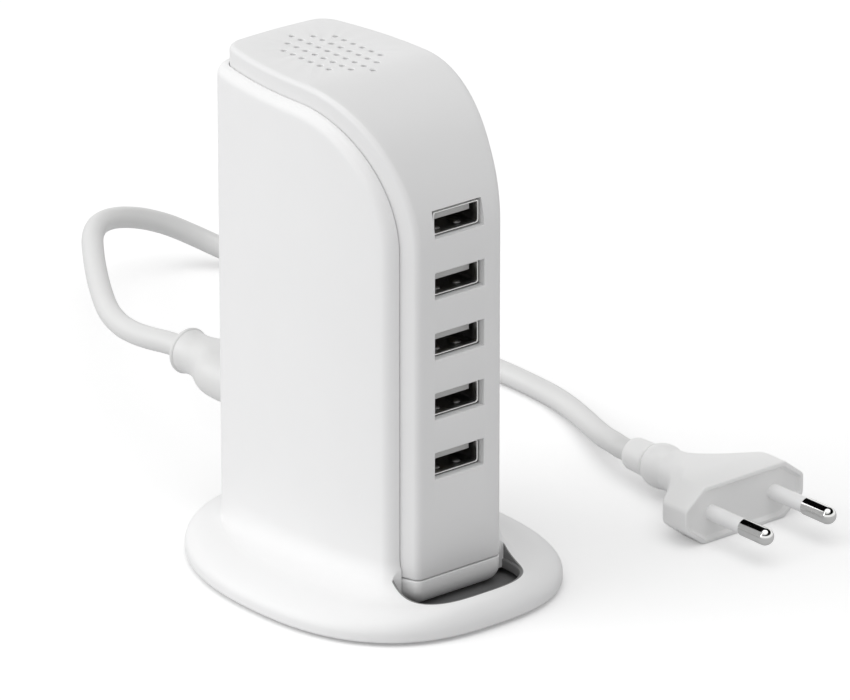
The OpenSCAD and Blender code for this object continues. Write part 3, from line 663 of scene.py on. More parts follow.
@dataclass
class BlockForm:
    """The charger block's form: bulging sides, a flat socket face and a round nose.

    A level outline at height z has its front at the face or on the nose arc, its sides on two large
    arcs, and round corners between them and the slightly bulging back.
    """

    top: float = 117 * MM
    depth: float = 63.8 * MM
    width: float = 35.4 * MM
    side_r: float = 104 * MM
    belly: float = 35 * MM
    back_r: float = 120 * MM
    corner_r: float = 5.5 * MM
    nose_r: float = 32 * MM
    edge_r: float = 1.2 * MM
    face_y: float = -32.15 * MM
    inlet_z: float = 31.8 * MM
    nose_steps: int = 56
    skin_step: float = 0.004 * MM
    edge_steps: int = 8
    front_steps: int = 12
    side_steps: int = 28
    corner_steps: int = 12
    back_steps: int = 10

    def __post_init__(self) -> None:
        """Finds the corner arcs' centre, where the side arc and the back arc meet them."""
        self.side_c = np.array([self.width / 2 - self.side_r, self.belly])
        self.back_c = np.array([0.0, self.depth - self.back_r])
        r1, r2 = self.side_r - self.corner_r, self.back_r - self.corner_r
        way = self.back_c - self.side_c
        d = float(np.hypot(*way))
        u = way / d
        a = (r1 * r1 - r2 * r2 + d * d) / (2 * d)
        h = math.sqrt(r1 * r1 - a * a)
        self.corner_c = self.side_c + a * u + h * np.array([-u[1], u[0]])
        self.to_side = (self.corner_c - self.side_c) / r1
        self.to_back = (self.corner_c - self.back_c) / r2
        self.nose_z = self.top - self.nose_r

    def side_x(self, y: Array, grow: Array | float) -> Array:
        """Half width at depth y, on the side arc grown by grow."""
        reach = (self.side_r + grow) ** 2 - (y - self.side_c[1]) ** 2
        return self.side_c[0] + np.sqrt(np.maximum(reach, 0))

    @staticmethod
    def draw_in(d: Array, edge: float) -> Array:
        """How far an edge of this radius draws in at depth d under the surface."""
        return edge - np.sqrt(np.maximum(edge * edge - np.maximum(edge - d, 0) ** 2, 0))

    def outline(self, z: Array, grow: float = 0.0, drop: float = 0.0, edge: float = edge_r) -> Array:
        """Level outlines of the form, anticlockwise from the front's middle.

        Args:
            z: heights.
            grow: the form's growth sideways.
            drop: how far its front and top are pulled in.
            edge: radius of its rounded edges.

        Returns:
            An array of heights by points by 2, in block coordinates.
        """
        z = np.atleast_1d(np.asarray(z, float))[:, None]
        rp = self.nose_r - drop
        under = np.maximum(self.top - drop - z, self.skin_step)
        inset = self.draw_in(under, edge)
        turn = np.arccos(1 - np.minimum(under, edge) / edge)
        d = edge * (1 - np.cos(turn * np.linspace(0, 1, self.edge_steps + 1)))
        arc = np.sqrt(np.maximum((rp - d) ** 2 - (z - self.nose_z) ** 2, 0))
        y = np.where(z <= self.nose_z, drop + d, self.nose_r - arc)
        x = self.side_x(y, grow - self.draw_in(d, edge))
        share = np.linspace(0, 1, self.front_steps + 1)[:-1]
        front = np.stack([x[:, :1] * share, np.broadcast_to(y[:, :1], (len(z), self.front_steps))], -1)
        y2 = self.side_c[1] + (self.side_r + grow - inset) * self.to_side[1]
        ys = y[:, -1:] + (y2 - y[:, -1:]) * np.linspace(0, 1, self.side_steps + 1)[1:-1]
        sides = np.stack([self.side_x(ys, grow - inset), ys], -1)
        f1 = math.atan2(self.to_side[1], self.to_side[0])
        f2 = math.atan2(self.to_back[1], self.to_back[0])
        f = np.linspace(f1, f2, self.corner_steps + 1)
        ray = np.stack([np.cos(f), np.sin(f)], -1)
        corner = self.corner_c + (self.corner_r + grow - inset)[..., None] * ray
        f = np.linspace(f2, math.pi / 2, self.back_steps + 1)[1:]
        ray = np.stack([np.cos(f), np.sin(f)], -1)
        back = self.back_c + (self.back_r + grow - inset)[..., None] * ray
        half = np.concatenate([front, np.stack([x, y], -1), sides, corner, back], 1)
        mirror = half[:, -2:0:-1] * np.array([-1.0, 1.0])
        return np.concatenate([half, mirror], 1)

    def nose_levels(self, drop: float = 0.0) -> Array:
        """Heights from the nose's foot to the flat top, even in angle."""
        f = np.radians(np.linspace(0, 90, self.nose_steps + 1))
        z = self.nose_z + (self.nose_r - drop) * np.sin(f)
        return np.minimum(z, self.top - drop - self.skin_step)

    def rings(self, z0: float, grow: float = 0.0, drop: float = 0.0, edge: float = edge_r) -> Array:
        """Rings from height z0 up to the flat top, in the part's frame."""
        levels = np.concatenate([np.linspace(z0, self.nose_z, 7)[:-1], self.nose_levels(drop)])
        return self.placed(ring_at(self.outline(levels, grow, drop, edge), levels))

    def placed(self, points: Array) -> Array:
        """Moves points from block coordinates to the part's frame."""
        return points + np.array([0.0, self.face_y, 0.0])

    def surface_z(self, y: float) -> float:
        """Height of the top surface at depth y behind the socket face."""
        if y >= self.nose_r:
            return self.top
        return self.nose_z + math.sqrt(self.nose_r ** 2 - (self.nose_r - y) ** 2)


FORM = BlockForm()


def block_tool(name: str, rings: list[Array]) -> Piece:
    """A closed cutter or solid through rings that are given in block coordinates."""
    return closed_skin(name, FORM.placed(np.stack(rings)))


def rear_tool(name: str, outline: Array, z: float, out: float, depth: float) -> Piece:
    """A cutter with this outline at height z, from out behind the form's back to depth inside it."""
    return block_tool(name, [along_y(outline, FORM.depth + y, (0, z)) for y in (out, -depth)])


@dataclass
class Stand:
    """The stand: a flared oval base, a hollow apron and a sleeve round the block."""

    wall: float = 2.5 * MM
    gap: float = 0.2 * MM
    rim_drop: float = 4.4 * MM
    rim_round: float = 2.3 * MM
    flare_top: float = 14.5 * MM
    width: float = 72 * MM
    front: float = 12.5 * MM
    back: float = 76.8 * MM
    middle: float = 30 * MM
    front_power: float = 2.57
    back_power: float = 2.1
    apron_side: float = 8.6 * MM
    apron_front: float = 3.9 * MM
    apron_back: float = 7 * MM
    shoulder: float = 7 * MM
    edge_h: float = 2.6 * MM
    edge_gap: float = 0.8 * MM
    edge_round: float = 0.6 * MM
    skirt: float = 2.2 * MM
    plate_top: float = 3.4 * MM
    opening_half: float = 15.2 * MM
    opening_front: float = 7.7 * MM
    opening_power: float = 3.2
    lip_round: float = 0.4 * MM
    hatch: tuple[float, float, float] = (20 * MM, 12.6 * MM, 5.6 * MM)
    hatch_reach: tuple[float, float] = (10 * MM, 6 * MM)
    hollow_in: float = 0.6 * MM
    opening_end: float = 3.9 * MM
    opening_spare: float = 2 * MM
    flare_steps: int = 18
    margin: float = MM

    def oval(self, ring: Array, half: float, front: float, back: float) -> Array:
        """Points of a rounded oval at the same bearings as the ring's, from the base's middle.

        The oval is |x/half|^n + |y/reach|^n = 1, with one reach and power ahead and another behind.
        """
        d = ring - np.array([0.0, self.middle])
        f = np.arctan2(d[..., 1], d[..., 0])
        ahead = d[..., 1] < 0
        power = np.where(ahead, self.front_power, self.back_power)
        return blunt_oval(f, half, np.where(ahead, front, back), power) + [0.0, self.middle]

    def base_ring(self, ring: Array, inset: float = 0.0) -> Array:
        """The base's outline, drawn in by inset."""
        return self.oval(ring, self.width / 2 - inset, self.front + self.middle - inset,
                         self.back - self.middle - inset)

    def shoulder_ring(self, ring: Array, inset: float = 0.0) -> Array:
        """Outline of the apron's high part, drawn in by inset."""
        return self.oval(ring, self.width / 2 - self.apron_side - inset,
                         self.front + self.middle - self.apron_front - inset,
                         self.back - self.middle - self.apron_back - inset)

    def sleeve(self, z: Array | float) -> Array:
        """Level outlines of the sleeve round the block."""
        return FORM.outline(z, self.gap + self.wall, self.rim_drop, self.rim_round)

    def outer_rings(self) -> Array:
        """Rings of the outer surface: upright edge, round apron, hollow flare, sleeve, rim.

        The apron is a quarter of an ellipse from the base's edge to the shoulder, and the flare one
        from the shoulder to the sleeve.
        """
        sleeve = self.sleeve(self.flare_top)[0]
        base, high = self.base_ring(sleeve), self.shoulder_ring(sleeve)
        low = [ring_at(self.base_ring(sleeve, inset), self.edge_gap + up)
               for inset, up in rounding(self.edge_round, 6)]
        f = np.radians(np.linspace(0, 90, self.flare_steps + 1))
        apron = [ring_at(base + (high - base) * (1 - math.cos(a)),
                         self.edge_h + (self.shoulder - self.edge_h) * math.sin(a)) for a in f]
        flare = [ring_at(high + (sleeve - high) * math.sin(a),
                         self.shoulder + (self.flare_top - self.shoulder) * (1 - math.cos(a))) for a in f[1:]]
        levels = np.concatenate([np.linspace(self.flare_top, FORM.nose_z, 7)[1:-1],
                                 FORM.nose_levels(self.rim_drop)])
        upper = ring_at(self.sleeve(levels), levels)
        return FORM.placed(np.concatenate([np.stack(low + apron + flare), upper]))

    def hollow(self) -> Piece:
        """The space under the apron."""
        sleeve = self.sleeve(self.flare_top)[0]
        base, high = self.base_ring(sleeve, self.skirt), self.shoulder_ring(sleeve, self.hollow_in)
        rings = [ring_at(base, self.edge_gap - self.margin), ring_at(base, self.plate_top),
                 ring_at(high, self.shoulder - self.skirt)]
        return block_tool("hollow", rings)

    def opening(self) -> Piece:
        """The opening ahead of the block, with a round upper edge.

        Its outline is half of |x/half|^n + |y/reach|^n = 1, closed behind the socket face.
        """
        end = self.opening_end
        f = np.radians(np.linspace(180, 360, 61))

        def level(z: float, grow: float) -> Array:
            """The outline grown by grow, at height z."""
            oval = blunt_oval(f, self.opening_half + grow, self.opening_front + end + grow, self.opening_power)
            return ring_at(oval + [0.0, end], z)

        lip = [level(self.shoulder - down, grow) for down, grow in rounding(self.lip_round, 5)]
        top = level(self.flare_top - self.opening_spare, self.lip_round)
        return block_tool("opening", [level(-self.margin, 0.0), *lip, top])

    def build(self) -> Piece:
        """Builds the stand's moulding.

        Returns:
            The dressed piece.
        """
        shell = closed_skin("stand_moulding", self.outer_rings())
        room = closed_skin("room", FORM.rings(-self.margin, self.gap, -self.gap))
        hatch = rear_tool("hatch", soft_rect(*self.hatch, 12), FORM.inlet_z, *self.hatch_reach)
        carve(shell, [self.hollow(), room, self.opening(), hatch])
        return finish_piece(shell, Slot.STAND, "stand_shell")


@dataclass
class Block:
    """The charger block's mouldings: cover, back cover and bottom cap."""

    wall: float = 2 * MM
    cap_line: float = 10 * MM
    seam: float = 0.3 * MM
    seam_round: float = 0.25 * MM
    cap_bottom: float = 3.5 * MM
    cap_round: float = 4 * MM
    top_port: float = 91.1 * MM
    pitch: float = 13.85 * MM
    ports: int = 5
    window: tuple[float, float] = (13.7 * MM, 6.1 * MM)
    window_round: float = 0.3 * MM
    window_corner: float = 0.15 * MM
    vent_d: float = 1.3 * MM
    vent_round: float = 0.22 * MM
    vent_across: float = 3.6 * MM
    vent_along: float = 3.09 * MM
    vent_back: float = 56.9 * MM
    vent_rows: int = 2
    vent_long: int = 10
    rear_window: tuple[float, float, float] = (23.8 * MM, 14.5 * MM, 108 * MM)
    rear_reach: tuple[float, float] = (2 * MM, 4.6 * MM)
    rear_corner: float = 1.2 * MM
    rear_gap: float = 0.15 * MM
    inlet: tuple[float, float, float] = (17.4 * MM, 9 * MM, 4.4 * MM)
    inlet_reach: tuple[float, float] = (3 * MM, 5 * MM)
    inner_round: float = 0.4 * MM
    spare: float = 4 * MM
    margin: float = MM

    def port_z(self, number: int) -> float:
        """Height of a socket's middle, counted from the top as 1."""
        return self.top_port - (number - 1) * self.pitch

    def windows(self) -> list[Piece]:
        """Cutters for the socket windows, each flared by a quarter round at the face."""
        w, h = self.window

        def ring(y: float, grow: float, z: float) -> Array:
            """The window's outline grown by grow, at depth y and height z."""
            outline = soft_rect(w + 2 * grow, h + 2 * grow, self.window_corner + grow, 3)
            return along_y(outline, y, (0, z))

        made = []
        for z in (self.port_z(i) for i in range(1, self.ports + 1)):
            mouth = [ring(y, grow, z) for y, grow in rounding(self.window_round, 5)]
            rings = [ring(self.wall + self.spare, 0.0, z), *mouth, ring(-self.margin, self.window_round, z)]
            made.append(block_tool("window", rings))
        return made

    def vent_tool(self) -> Piece:
        """One cutter with every vent: a round hole with a quarter-round mouth at the local surface.

        The vents stand in rows along the depth, each row two holes shorter than the one nearer the
        middle.
        """
        lip = self.vent_round
        rows = [(-self.spare, 0.0), *((-down, out) for down, out in rounding(lip, 4)), (self.margin, lip)]
        one = np.stack([ring_at(circle(24) * (self.vent_d / 2 + out), z) for z, out in rows])
        spots = [(m * self.vent_across, self.vent_back - n * self.vent_along)
                 for m in range(-self.vent_rows, self.vent_rows + 1)
                 for n in range(abs(m), self.vent_long - abs(m))]
        return closed_skin("vents", *[FORM.placed(one + [x, y, FORM.surface_z(y)]) for x, y in spots])

    def tube(self, name: str) -> Piece:
        """The hollow moulding with a rounded lower edge that both covers are parts of."""
        z0 = self.cap_line + self.seam / 2
        r = self.seam_round
        foot = [ring_at(FORM.outline(z0 + self.margin, -inset, inset)[0], z0 + up)
                for inset, up in rounding(r, 3)]
        rings = np.concatenate([FORM.placed(np.stack(foot)), FORM.rings(z0 + r)[1:]])
        outer = closed_skin(name, rings)
        room = FORM.rings(self.cap_line - self.margin, -self.wall, self.wall, self.inner_round)
        carve(outer, [closed_skin("inner", room)])
        return outer

    def rear_block(self, gap: float) -> Piece:
        """Cutter for the window in the cover's back, drawn in by gap for the back cover itself."""
        w, low, high = self.rear_window
        outline = soft_rect(w - 2 * gap, high - low - 2 * gap, self.rear_corner, 4)
        return rear_tool("rear", outline, (low + high) / 2, *self.rear_reach)

    def build(self) -> None:
        """Builds the cover, the back cover and the bottom cap."""
        cover = self.tube("cover_moulding")
        carve(cover, [self.rear_block(0.0), self.vent_tool()] + self.windows())
        finish_piece(cover, Slot.COVER, "charger_cover")
        panel = self.tube("back_panel")
        carve(panel, [self.rear_block(self.rear_gap)], keep_common=True)
        carve(panel, [rear_tool("hole", soft_rect(*self.inlet, 10), FORM.inlet_z, *self.inlet_reach)])
        finish_piece(panel, Slot.COVER, "back_cover")
        self.cap()

    def cap(self) -> Piece:
        """Builds the bottom cap, rounded in from its lower edge and hollow above its floor."""
        top = self.cap_line - self.seam / 2

        def ring(z: float, grow: float, drop: float) -> Array:
            """The form's outline at height z."""
            return ring_at(FORM.outline(z, grow, drop)[0], z)

        def bowl(grow: float, drop: float, radius: float, end: float) -> list[Array]:
            """Rings from the floor up to the height end, with this radius round the floor."""
            low = [ring(self.cap_bottom + drop + up, grow - inset, drop + inset)
                   for inset, up in rounding(radius, 16)]
            return low + [ring(end, grow, drop)]

        r = self.seam_round
        body = bowl(0.0, 0.0, self.cap_round, top - r)
        body += [ring(top - down, -inset, inset) for inset, down in rounding(r, 3, 90.0, 0.0)[1:]]
        hollow = bowl(-self.wall, self.wall, self.cap_round - self.wall / 2, self.cap_line + self.margin)
        cap = block_tool("foot_cap", body)
        carve(cap, [block_tool("cap_hollow", hollow)])
        return finish_piece(cap, Slot.COVER, "bottom_cap")


@dataclass
class Sockets:
    """Five sockets: folded sheet shells with spring fingers, tongues and contacts."""

    block: Block
    width: float = 13.1 * MM
    height: float = 5.7 * MM
    sheet: float = 0.3 * MM
    length: float = 14.2 * MM
    set_back: float = 1.4 * MM
    corner: float = 0.7 * MM
    rim: float = 0.36 * MM
    rim_in: float = 0.2 * MM
    taper: float = 0.9 * MM
    spring_at: tuple[float, float] = (2.9 * MM, 5.6 * MM)
    spring_size: tuple[float, float, float] = (2.3 * MM, 3.6 * MM, 0.6 * MM)

    def spring(self, side: int, number: int) -> Array:
        """Rings of the bump of a leaf spring on the shell's floor, from the sheet up to its crown."""
        width, length, rise = self.spring_size
        z = self.block.port_z(number) - self.height / 2 + self.sheet / 2
        outline = soft_rect(width, length, 0.49 * width)
        a = np.radians(np.linspace(0, 82, 8))[:, None, None]
        flat = outline * np.cos(a) + [side * self.spring_at[0], self.spring_at[1]]
        return FORM.placed(ring_at(flat, z + (rise + self.sheet / 2) * np.sin(a[:, 0, 0])))

    def shell(self, number: int) -> Piece:
        """The folded tube, drawn in a little to a thicker rim round its mouth, and its leaf springs.

        Rings run along the outside, round the rim and back along the inside.
        """
        z = self.block.port_z(number)
        y0, y1 = self.set_back, self.set_back + self.length
        w, h, t, rim = self.width, self.height, self.sheet, self.rim

        def ring(y: float, inset: float) -> Array:
            """The outline drawn in by inset, at depth y."""
            return along_y(soft_rect(w - 2 * inset, h - 2 * inset, self.corner - inset / 2, 5), y, (0, z))

        rings = [ring(y1, 0.0), ring(y0 + self.taper, 0.0), ring(y0 + rim, self.rim_in)]
        rings += [ring(y0 + ahead, self.rim_in + inset) for ahead, inset in rounding(rim / 2, 8, 0.0, 180.0)]
        rings += [ring(y0 + rim, self.rim_in + rim), ring(y0 + self.taper, t), ring(y1, t)]
        springs = [self.spring(side, number) for side in (-1, 1)]
        return closed_skin(f"socket_shell_{number}", *springs, loops=(FORM.placed(np.stack(rings)),))

    def build(self) -> None:
        """Builds the shells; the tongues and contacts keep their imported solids."""
        for i in range(1, self.block.ports + 1):
            finish_piece(self.shell(i), Slot.SOCKET_METAL, f"usb_shell_{i}")


@dataclass
class MainsLead:
    """The mains lead: connector, cord, strain relief, plug and pins."""

    diameter: float = 5.2 * MM
    route: Array = field(default_factory=lambda: np.array([
        [0, 63, 31.8], [0, 66, 31.8], [0, 71, 31.3], [0.1, 77, 30.4], [1, 84, 29.4], [3.2, 91.5, 28.4],
        [7.2, 100.5, 27.4], [13.4, 111, 26], [22.6, 125, 24], [32.4, 139.2, 22], [42.4, 153, 20],
        [47.4, 159.4, 19], [51.7, 164.2, 18.1], [56.2, 168.4, 17.2], [61.5, 171.4, 16.3], [67.2, 172.8, 15],
        [73.1, 172.6, 13.2], [78.8, 170.9, 10.8], [83.7, 167.7, 8], [87.6, 163.4, 5.5], [90.3, 158, 3.8],
        [91.6, 152, 2.9], [91.9, 145, 2.6], [92, 130, 2.6], [92, 116, 2.6], [92.2, 102, 2.6], [92.4, 88, 2.6],
        [92.6, 74, 2.6], [92.8, 62, 2.6], [92.6, 52, 2.6], [91.6, 43, 2.8], [89.4, 34.4, 3.2],
        [86.4, 26.4, 3.8], [83.2, 19, 4.6], [80.2, 12.2, 5.6], [78.4, 7, 6.4], [77.2, 3.2, 6.8],
        [77, 0.8, 6.85], [77, -1, 6.85]]) * MM)
    sides: int = 28

    grip_front: float = 31.95 * MM
    collar: tuple[float, float] = (10.7 * MM, 1.2 * MM)
    lobe: tuple[float, float, float] = (7 * MM, 8.6 * MM, 9.7 * MM)
    grip_rows: Array = field(default_factory=lambda: np.array([
        [0, 10.1, 10.1], [1, 9.9, 9.9], [2.5, 9.6, 9.6], [4.5, 10, 9.6], [6.5, 11.2, 9.8], [9, 13.6, 10.1],
        [11.5, 16.2, 10.5], [14, 17.6, 10.8], [16.5, 18, 11], [19.5, 18, 11]]) * MM)
    plug_w: float = 35.3 * MM
    plug_h: float = 13.7 * MM
    body: float = 24 * MM
    plug_rows: Array = field(default_factory=lambda: np.array([
        [24, 25.7, 4.1, 4, 4, 4.5], [21.5, 24.9, 3.7, 4.6, 4, 4.3], [18.5, 21.9, 2.9, 6.4, 4.2, 3.8],
        [15.5, 16.9, 2.1, 9.6, 4.4, 3.2], [12.5, 10.7, 1.3, 14.4, 4.6, 2.6], [10, 4.7, 0.7, 19.4, 4.8, 2.1],
        [8, 0.9, 0.2, 23, 5, 1.8], [6.4, 0, 0, 24, 5, 1.6]]) * MM)
    nose_root: float = MM
    nose_edge: tuple[float, float] = (0.4 * MM, 0.95)
    bar: float = 0.36
    grip_edge: float = 0.6 * MM
    grip_flat: float = 0.05 * MM
    shrink: Array = field(default_factory=lambda: np.array([0, 0, 0, -0.8, -0.4, -0.3]) * MM)
    face_edge: float = 0.4 * MM
    lip: float = 0.5 * MM
    border: float = 0.7 * MM
    border_depth: float = 0.9 * MM
    pin_edge: float = 0.15 * MM
    pin_root: float = 2.9 * MM
    relief_barrel: Array = field(default_factory=lambda: np.array([
        [14, 2.9], [13.9, 3.3], [13.6, 3.6], [13.1, 3.8], [12, 3.86], [8, 4], [7.5, 4], [7.3, 3.9],
        [7.2, 3.6], [6.6, 3.6], [6.5, 4], [6.3, 4.3]]) * MM)
    relief_ring: Array = field(default_factory=lambda: np.array([
        [5.9, 4.75], [5, 5.05], [3.6, 5.2], [2.2, 5.1], [1, 4.85], [0, 4.7]]) * MM)
    pin_pitch: float = 18.6 * MM
    sleeve: tuple[float, float] = (3.6 * MM, 10 * MM)
    tip: tuple[float, float] = (4 * MM, 9 * MM)

    @property
    def plug_centre(self) -> tuple[float, float]:
        """Place of the plug's axis across the table and above it."""
        return (self.route[-1, 0], self.plug_h / 2)

    @property
    def plug_face(self) -> float:
        """Depth of the plug's face in the part's frame."""
        return self.route[-1, 1] - self.relief_barrel[0, 0] - self.body

    def centre_line(self) -> Array:
        """A smooth line through the route's points that stays on the table."""
        line = spline(self.route, 6)
        line[:, 2] = np.maximum(line[:, 2], self.diameter / 2)
        return line

    def cord(self, line: Array) -> Piece:
        """The cord's tube: circles across the centre line, with the first axis kept level."""
        way = np.gradient(line, axis=0)
        way /= np.linalg.norm(way, axis=1)[:, None]
        across = np.cross([0.0, 0.0, 1.0], way)
        across /= np.linalg.norm(across, axis=1)[:, None]
        up = np.cross(way, across)
        turn = circle(self.sides)
        rings = line[:, None] + self.diameter / 2 * (turn[:, :1] * across[:, None] + turn[:, 1:] * up[:, None])
        return finish_piece(closed_skin("cord", rings), Slot.LEAD, "mains_cord", angle=60)

    def nose(self) -> Array:
        """Rings of the connector's nose, whose outline is a figure of eight.

        At each bearing the outline is the farther of a lobe's far side and the bar between the lobes.
        """
        width, pitch, depth = self.lobe
        turn = circle(96)
        c, s = np.abs(turn).T
        inside = (width / 2) ** 2 - (pitch / 2 * s) ** 2
        lobe = np.where(inside > 0, pitch / 2 * c + np.sqrt(np.maximum(inside, 0)), 0)
        bar = np.minimum(pitch / 2 / np.maximum(c, 1e-9), width * self.bar / np.maximum(s, 1e-9))
        outline = turn * np.maximum(lobe, bar)[:, None]
        front = self.grip_front + self.nose_root
        edge, share = self.nose_edge
        rows = [(front, 1.0), (front - depth + edge, 1.0), (front - depth, share)]
        return np.stack([along_y(outline * k, y, (0, FORM.inlet_z)) for y, k in rows])

    def connector(self) -> Piece:
        """The connector: a collar with a round rim, a neck that widens into a flat grip, and the nose."""
        width, thick = self.collar
        neck = self.route[0, 1] - thick
        rim = [(neck + back, width - 2 * inset, width - 2 * inset)
               for back, inset in rounding(thick / 2, 8, -90.0, 90.0)]
        grip = [(neck - y, w, h) for y, w, h in spline(self.grip_rows, 5)]
        _, w, h = grip[-1]
        end = [(self.grip_front + back, w - 2 * inset, h - 2 * inset)
               for back, inset in rounding(self.grip_edge, 5)]
        rings = [along_y(soft_rect(w, h, min(w, h) / 2 - self.grip_flat, 11), y, (0, FORM.inlet_z))
                 for y, w, h in rim + grip + end]
        piece = closed_skin("lead_end", np.stack(rings), self.nose())
        return finish_piece(piece, Slot.LEAD, "lead_connector", angle=50)

    def relief(self) -> Piece:
        """The strain relief: a barrel, a narrow groove and a full ring at the plug's wrist."""
        rows = np.vstack([self.relief_barrel, spline(self.relief_ring, 5)])
        rows[:, 0] += self.plug_face + self.body
        rings = turned(rows, self.plug_centre, 56)
        return finish_piece(closed_skin("relief", rings), Slot.PLUG, "plug_relief")

    def plug(self) -> Piece:
        """The plug's moulding: a round wrist that flares into a flat body with a set-in face."""
        rows = spline(self.plug_rows, 5)
        last = rows[-1]
        extra = [last + [back - last[0], 2 * inset, 2 * inset, -inset, -inset, -inset]
                 for back, inset in rounding(self.face_edge, 5)]
        lip = extra[-1] + [0, 2 * self.lip, 2 * self.lip, 0, 0, 0] + self.shrink
        floor = lip + [self.border_depth, 2 * self.border, 2 * self.border, 0, 0, 0] + self.shrink
        rows = np.vstack([rows, extra, lip, floor])
        rings = [along_y(cut_rect(self.plug_w - dw, self.plug_h - dh, top, end, r), self.plug_face + back,
                         self.plug_centre) for back, dw, dh, top, end, r in rows]
        return finish_piece(closed_skin("plug", np.stack(rings)), Slot.PLUG, "plug_body", angle=42)

    def pins(self) -> list[Piece]:
        """The pins: an insulating sleeve and a metal tip with a round end on each."""
        x, z = self.plug_centre
        centres = [(x - self.pin_pitch / 2, z), (x + self.pin_pitch / 2, z)]
        d, length = self.sleeve
        y, edge = self.plug_face, self.pin_edge
        rows = [(y + self.pin_root, d / 2), (y - length + edge, d / 2), (y - length, d / 2 - edge)]
        sleeves = closed_skin("pin_collars", *[turned(rows, c) for c in centres])
        y -= length
        d, length = self.tip
        dome = [(y - length + back, d / 2 - inset) for back, inset in rounding(d / 2, 15, 0.0, 88.0)]
        rows = [(y, d / 2 - edge), (y - edge, d / 2), *dome]
        tips = closed_skin("pin_tips", *[turned(rows, c) for c in centres])
        return [finish_piece(sleeves, Slot.SLEEVE, "pin_sleeves"), finish_piece(tips, Slot.PIN, "plug_pins")]

    def build(self) -> None:
        """Builds the lead's pieces."""
        line = self.centre_line()
        cord = self.cord(line)
        carried = [self.connector(), self.relief(), self.plug(), *self.pins()]


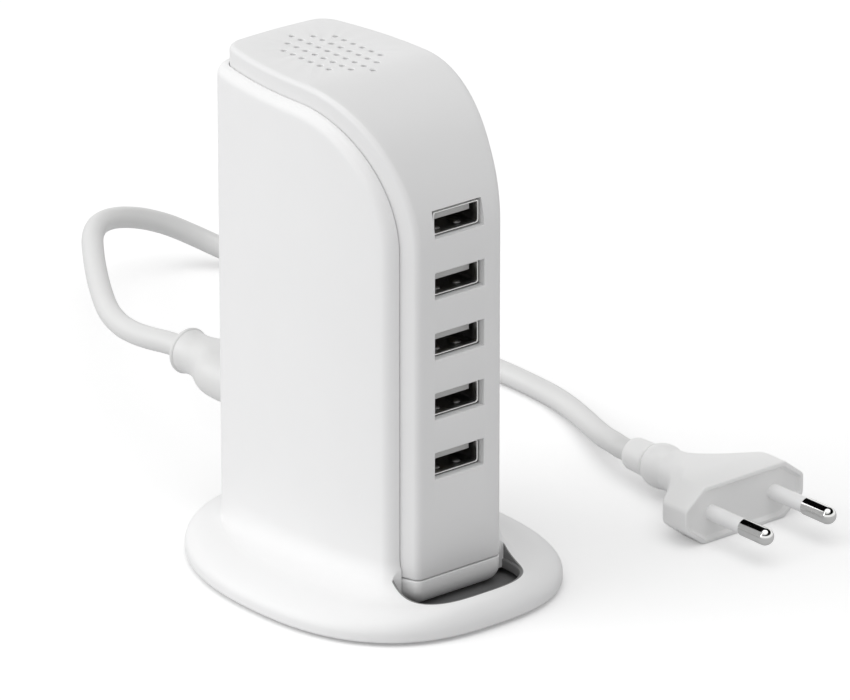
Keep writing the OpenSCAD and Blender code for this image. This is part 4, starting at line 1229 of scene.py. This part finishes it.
@dataclass
class Studio:
    """Camera, lamps, world and floor.

    A lamp's row is its name, strength, width, bearing and height, as lamp takes them.
    """

    bearing: float = 39.384
    elevation: float = 21.695
    distance: float = 1770.12 * MM
    focal_px: float = 8139.29
    turn: tuple[float, float] = (0.00709809, 0.00246107)
    target: tuple[float, float, float] = (0.0, -2.15 * MM, 56.5 * MM)
    image: tuple[int, int] = (850, 700)
    sensor: float = 36.0
    clip: tuple[float, float] = (0.05, 50.0)
    lamps: tuple[tuple[str, float, float, float, float], ...] = (
        ("key", 1.1, 50, 118, 29), ("overhead", 0.92, 70, 60, 75))
    ambient: float = 0.5
    panel: float = 1.1
    panel_low: float = 0.5
    panel_high: float = 0.85
    panel_edge: float = 12.0
    floor_rings: tuple[float, ...] = (0.02, 0.5, 3.0, 12.0)
    floor_sides: int = 96
    bounce: Colour = (0.68, 0.68, 0.685)
    paper: Colour = grey(0.98)
    glow: float = 2.1
    glow_share: float = 0.1

    @staticmethod
    def toward(bearing: float, elevation: float) -> Array:
        """Unit vector from the target to the camera."""
        return np.array([-math.sin(bearing) * math.cos(elevation), -math.cos(bearing) * math.cos(elevation),
                         math.sin(elevation)])

    def camera(self) -> None:
        """Places the camera on its bearing and turns it by two small angles off the target."""
        bearing, elevation = math.radians(self.bearing), math.radians(self.elevation)
        place = np.array(self.target) + self.toward(bearing, elevation) * self.distance
        bearing, elevation = bearing + self.turn[0], elevation + self.turn[1]
        back = self.toward(bearing, elevation)
        right = np.array([math.cos(bearing), -math.sin(bearing), 0.0])
        up = np.cross(back, right)
        data = bpy.data.cameras.new("camera")
        data.sensor_width = self.sensor
        data.lens = self.focal_px / self.image[0] * self.sensor
        data.clip_start, data.clip_end = self.clip
        camera = bpy.data.objects.new("camera", data)
        matrix = np.eye(4)
        matrix[:3, 0], matrix[:3, 1], matrix[:3, 2], matrix[:3, 3] = right, up, back, place
        camera.matrix_world = Matrix(matrix.tolist())
        bpy.context.scene.collection.objects.link(camera)
        bpy.context.scene.camera = camera

    def lamp(self, name: str, strength: float, width: float, bearing: float, height: float) -> None:
        """A wide sun.

        Args:
            name: the lamp's name.
            strength: light on a surface that faces it.
            width: its apparent width in degrees.
            bearing: direction it stands in, in degrees from -Y towards -X.
            height: its height in degrees.
        """
        data = bpy.data.lights.new(name, "SUN")
        data.energy = strength
        data.angle = math.radians(width)
        lamp = bpy.data.objects.new(name, data)
        b, h = math.radians(bearing), math.radians(height)
        lamp.rotation_euler = (math.pi / 2 - h, 0.0, -b)
        bpy.context.scene.collection.objects.link(lamp)

    def world(self) -> None:
        """Even light all round; mirrors see a low and a high white panel with a dark gap between."""
        world = bpy.data.worlds.new("studio")
        world.use_nodes = True
        tree = world.node_tree
        back = tree.nodes["Background"]
        path = tree.nodes.new("ShaderNodeLightPath")
        way = tree.nodes.new("ShaderNodeTexCoord")
        split = tree.nodes.new("ShaderNodeSeparateXYZ")
        tree.links.new(way.outputs["Generated"], split.inputs[0])
        height = Wire(tree, split.outputs["Z"])
        high = ((height - self.panel_high) * self.panel_edge).between()
        panels = high + ((self.panel_low - height) * self.panel_edge).between()
        mirror = Wire(tree, path.outputs["Is Glossy Ray"]) * (panels * self.panel - self.ambient)
        seen = Wire(tree, path.outputs["Is Camera Ray"]) + Wire(tree, path.outputs["Is Transmission Ray"])
        level = seen.at_most(1.0) * (1.0 - self.ambient) + mirror + self.ambient
        back.inputs["Color"].default_value = (1.0, 1.0, 1.0, 1.0)
        tree.links.new(level.socket, back.inputs["Strength"])
        bpy.context.scene.world = world

    def floor(self) -> None:
        """A floor that the camera sees as white paper; it returns less light to the part."""
        sides = self.floor_sides
        rings = ring_at(circle(sides) * np.array(self.floor_rings)[:, None, None], 0.0)
        points = np.concatenate([rings.reshape(-1, 3), [[0, 0, 0]]])
        i = np.arange(sides)
        tris = np.stack([np.full(sides, len(points) - 1), i, (i + 1) % sides], -1)
        floor = new_piece("floor", points, grid_faces(len(rings), sides)[:, ::-1], tris)
        paint = Paint("floor_paper")
        bounce = paint.node("BsdfDiffuse", None, {"Color": (*self.bounce, 1.0)})
        paper = paint.node("BsdfDiffuse", None, {"Color": (*self.paper, 1.0)})
        glow = paint.node("Emission", None, {"Color": (1.0, 1.0, 1.0, 1.0), "Strength": self.glow})
        shown = paint.node("MixShader", None, {0: self.glow_share, 1: paper, 2: glow})
        seen = paint.node("LightPath", out="Is Camera Ray")
        mixed = paint.node("MixShader", None, {0: seen, 1: bounce, 2: shown})
        paint.tree.links.new(mixed.socket, paint.surface)
        floor.data.materials.append(paint.material)

    def build(self) -> None:
        """Sets up the whole studio."""
        self.camera()
        for row in self.lamps:
            self.lamp(*row)
        self.world()
        self.floor()
        bpy.context.scene.view_settings.view_transform = "Standard"


def dress_nodes() -> None:
    """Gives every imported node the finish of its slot."""
    slots = {entry["node"]: entry["material_slot"] for entry in frame["record"]["subparts"]}
    for name, node in frame["nodes"].items():
        node.data.materials.clear()
        node.data.materials.append(SHELF.get(slots[name]))
    LOG.info("dressed %d packed nodes", len(slots))


def main() -> None:
    """Builds the sub-assemblies in order."""
    logging.basicConfig(level=logging.INFO, format="%(name)s: %(message)s")
    Studio().build()
    MainsLead().build()
    dress_nodes()
    Stand().build()
    block = Block()
    block.build()
    Sockets(block).build()


if __name__ == "__main__":
    main()
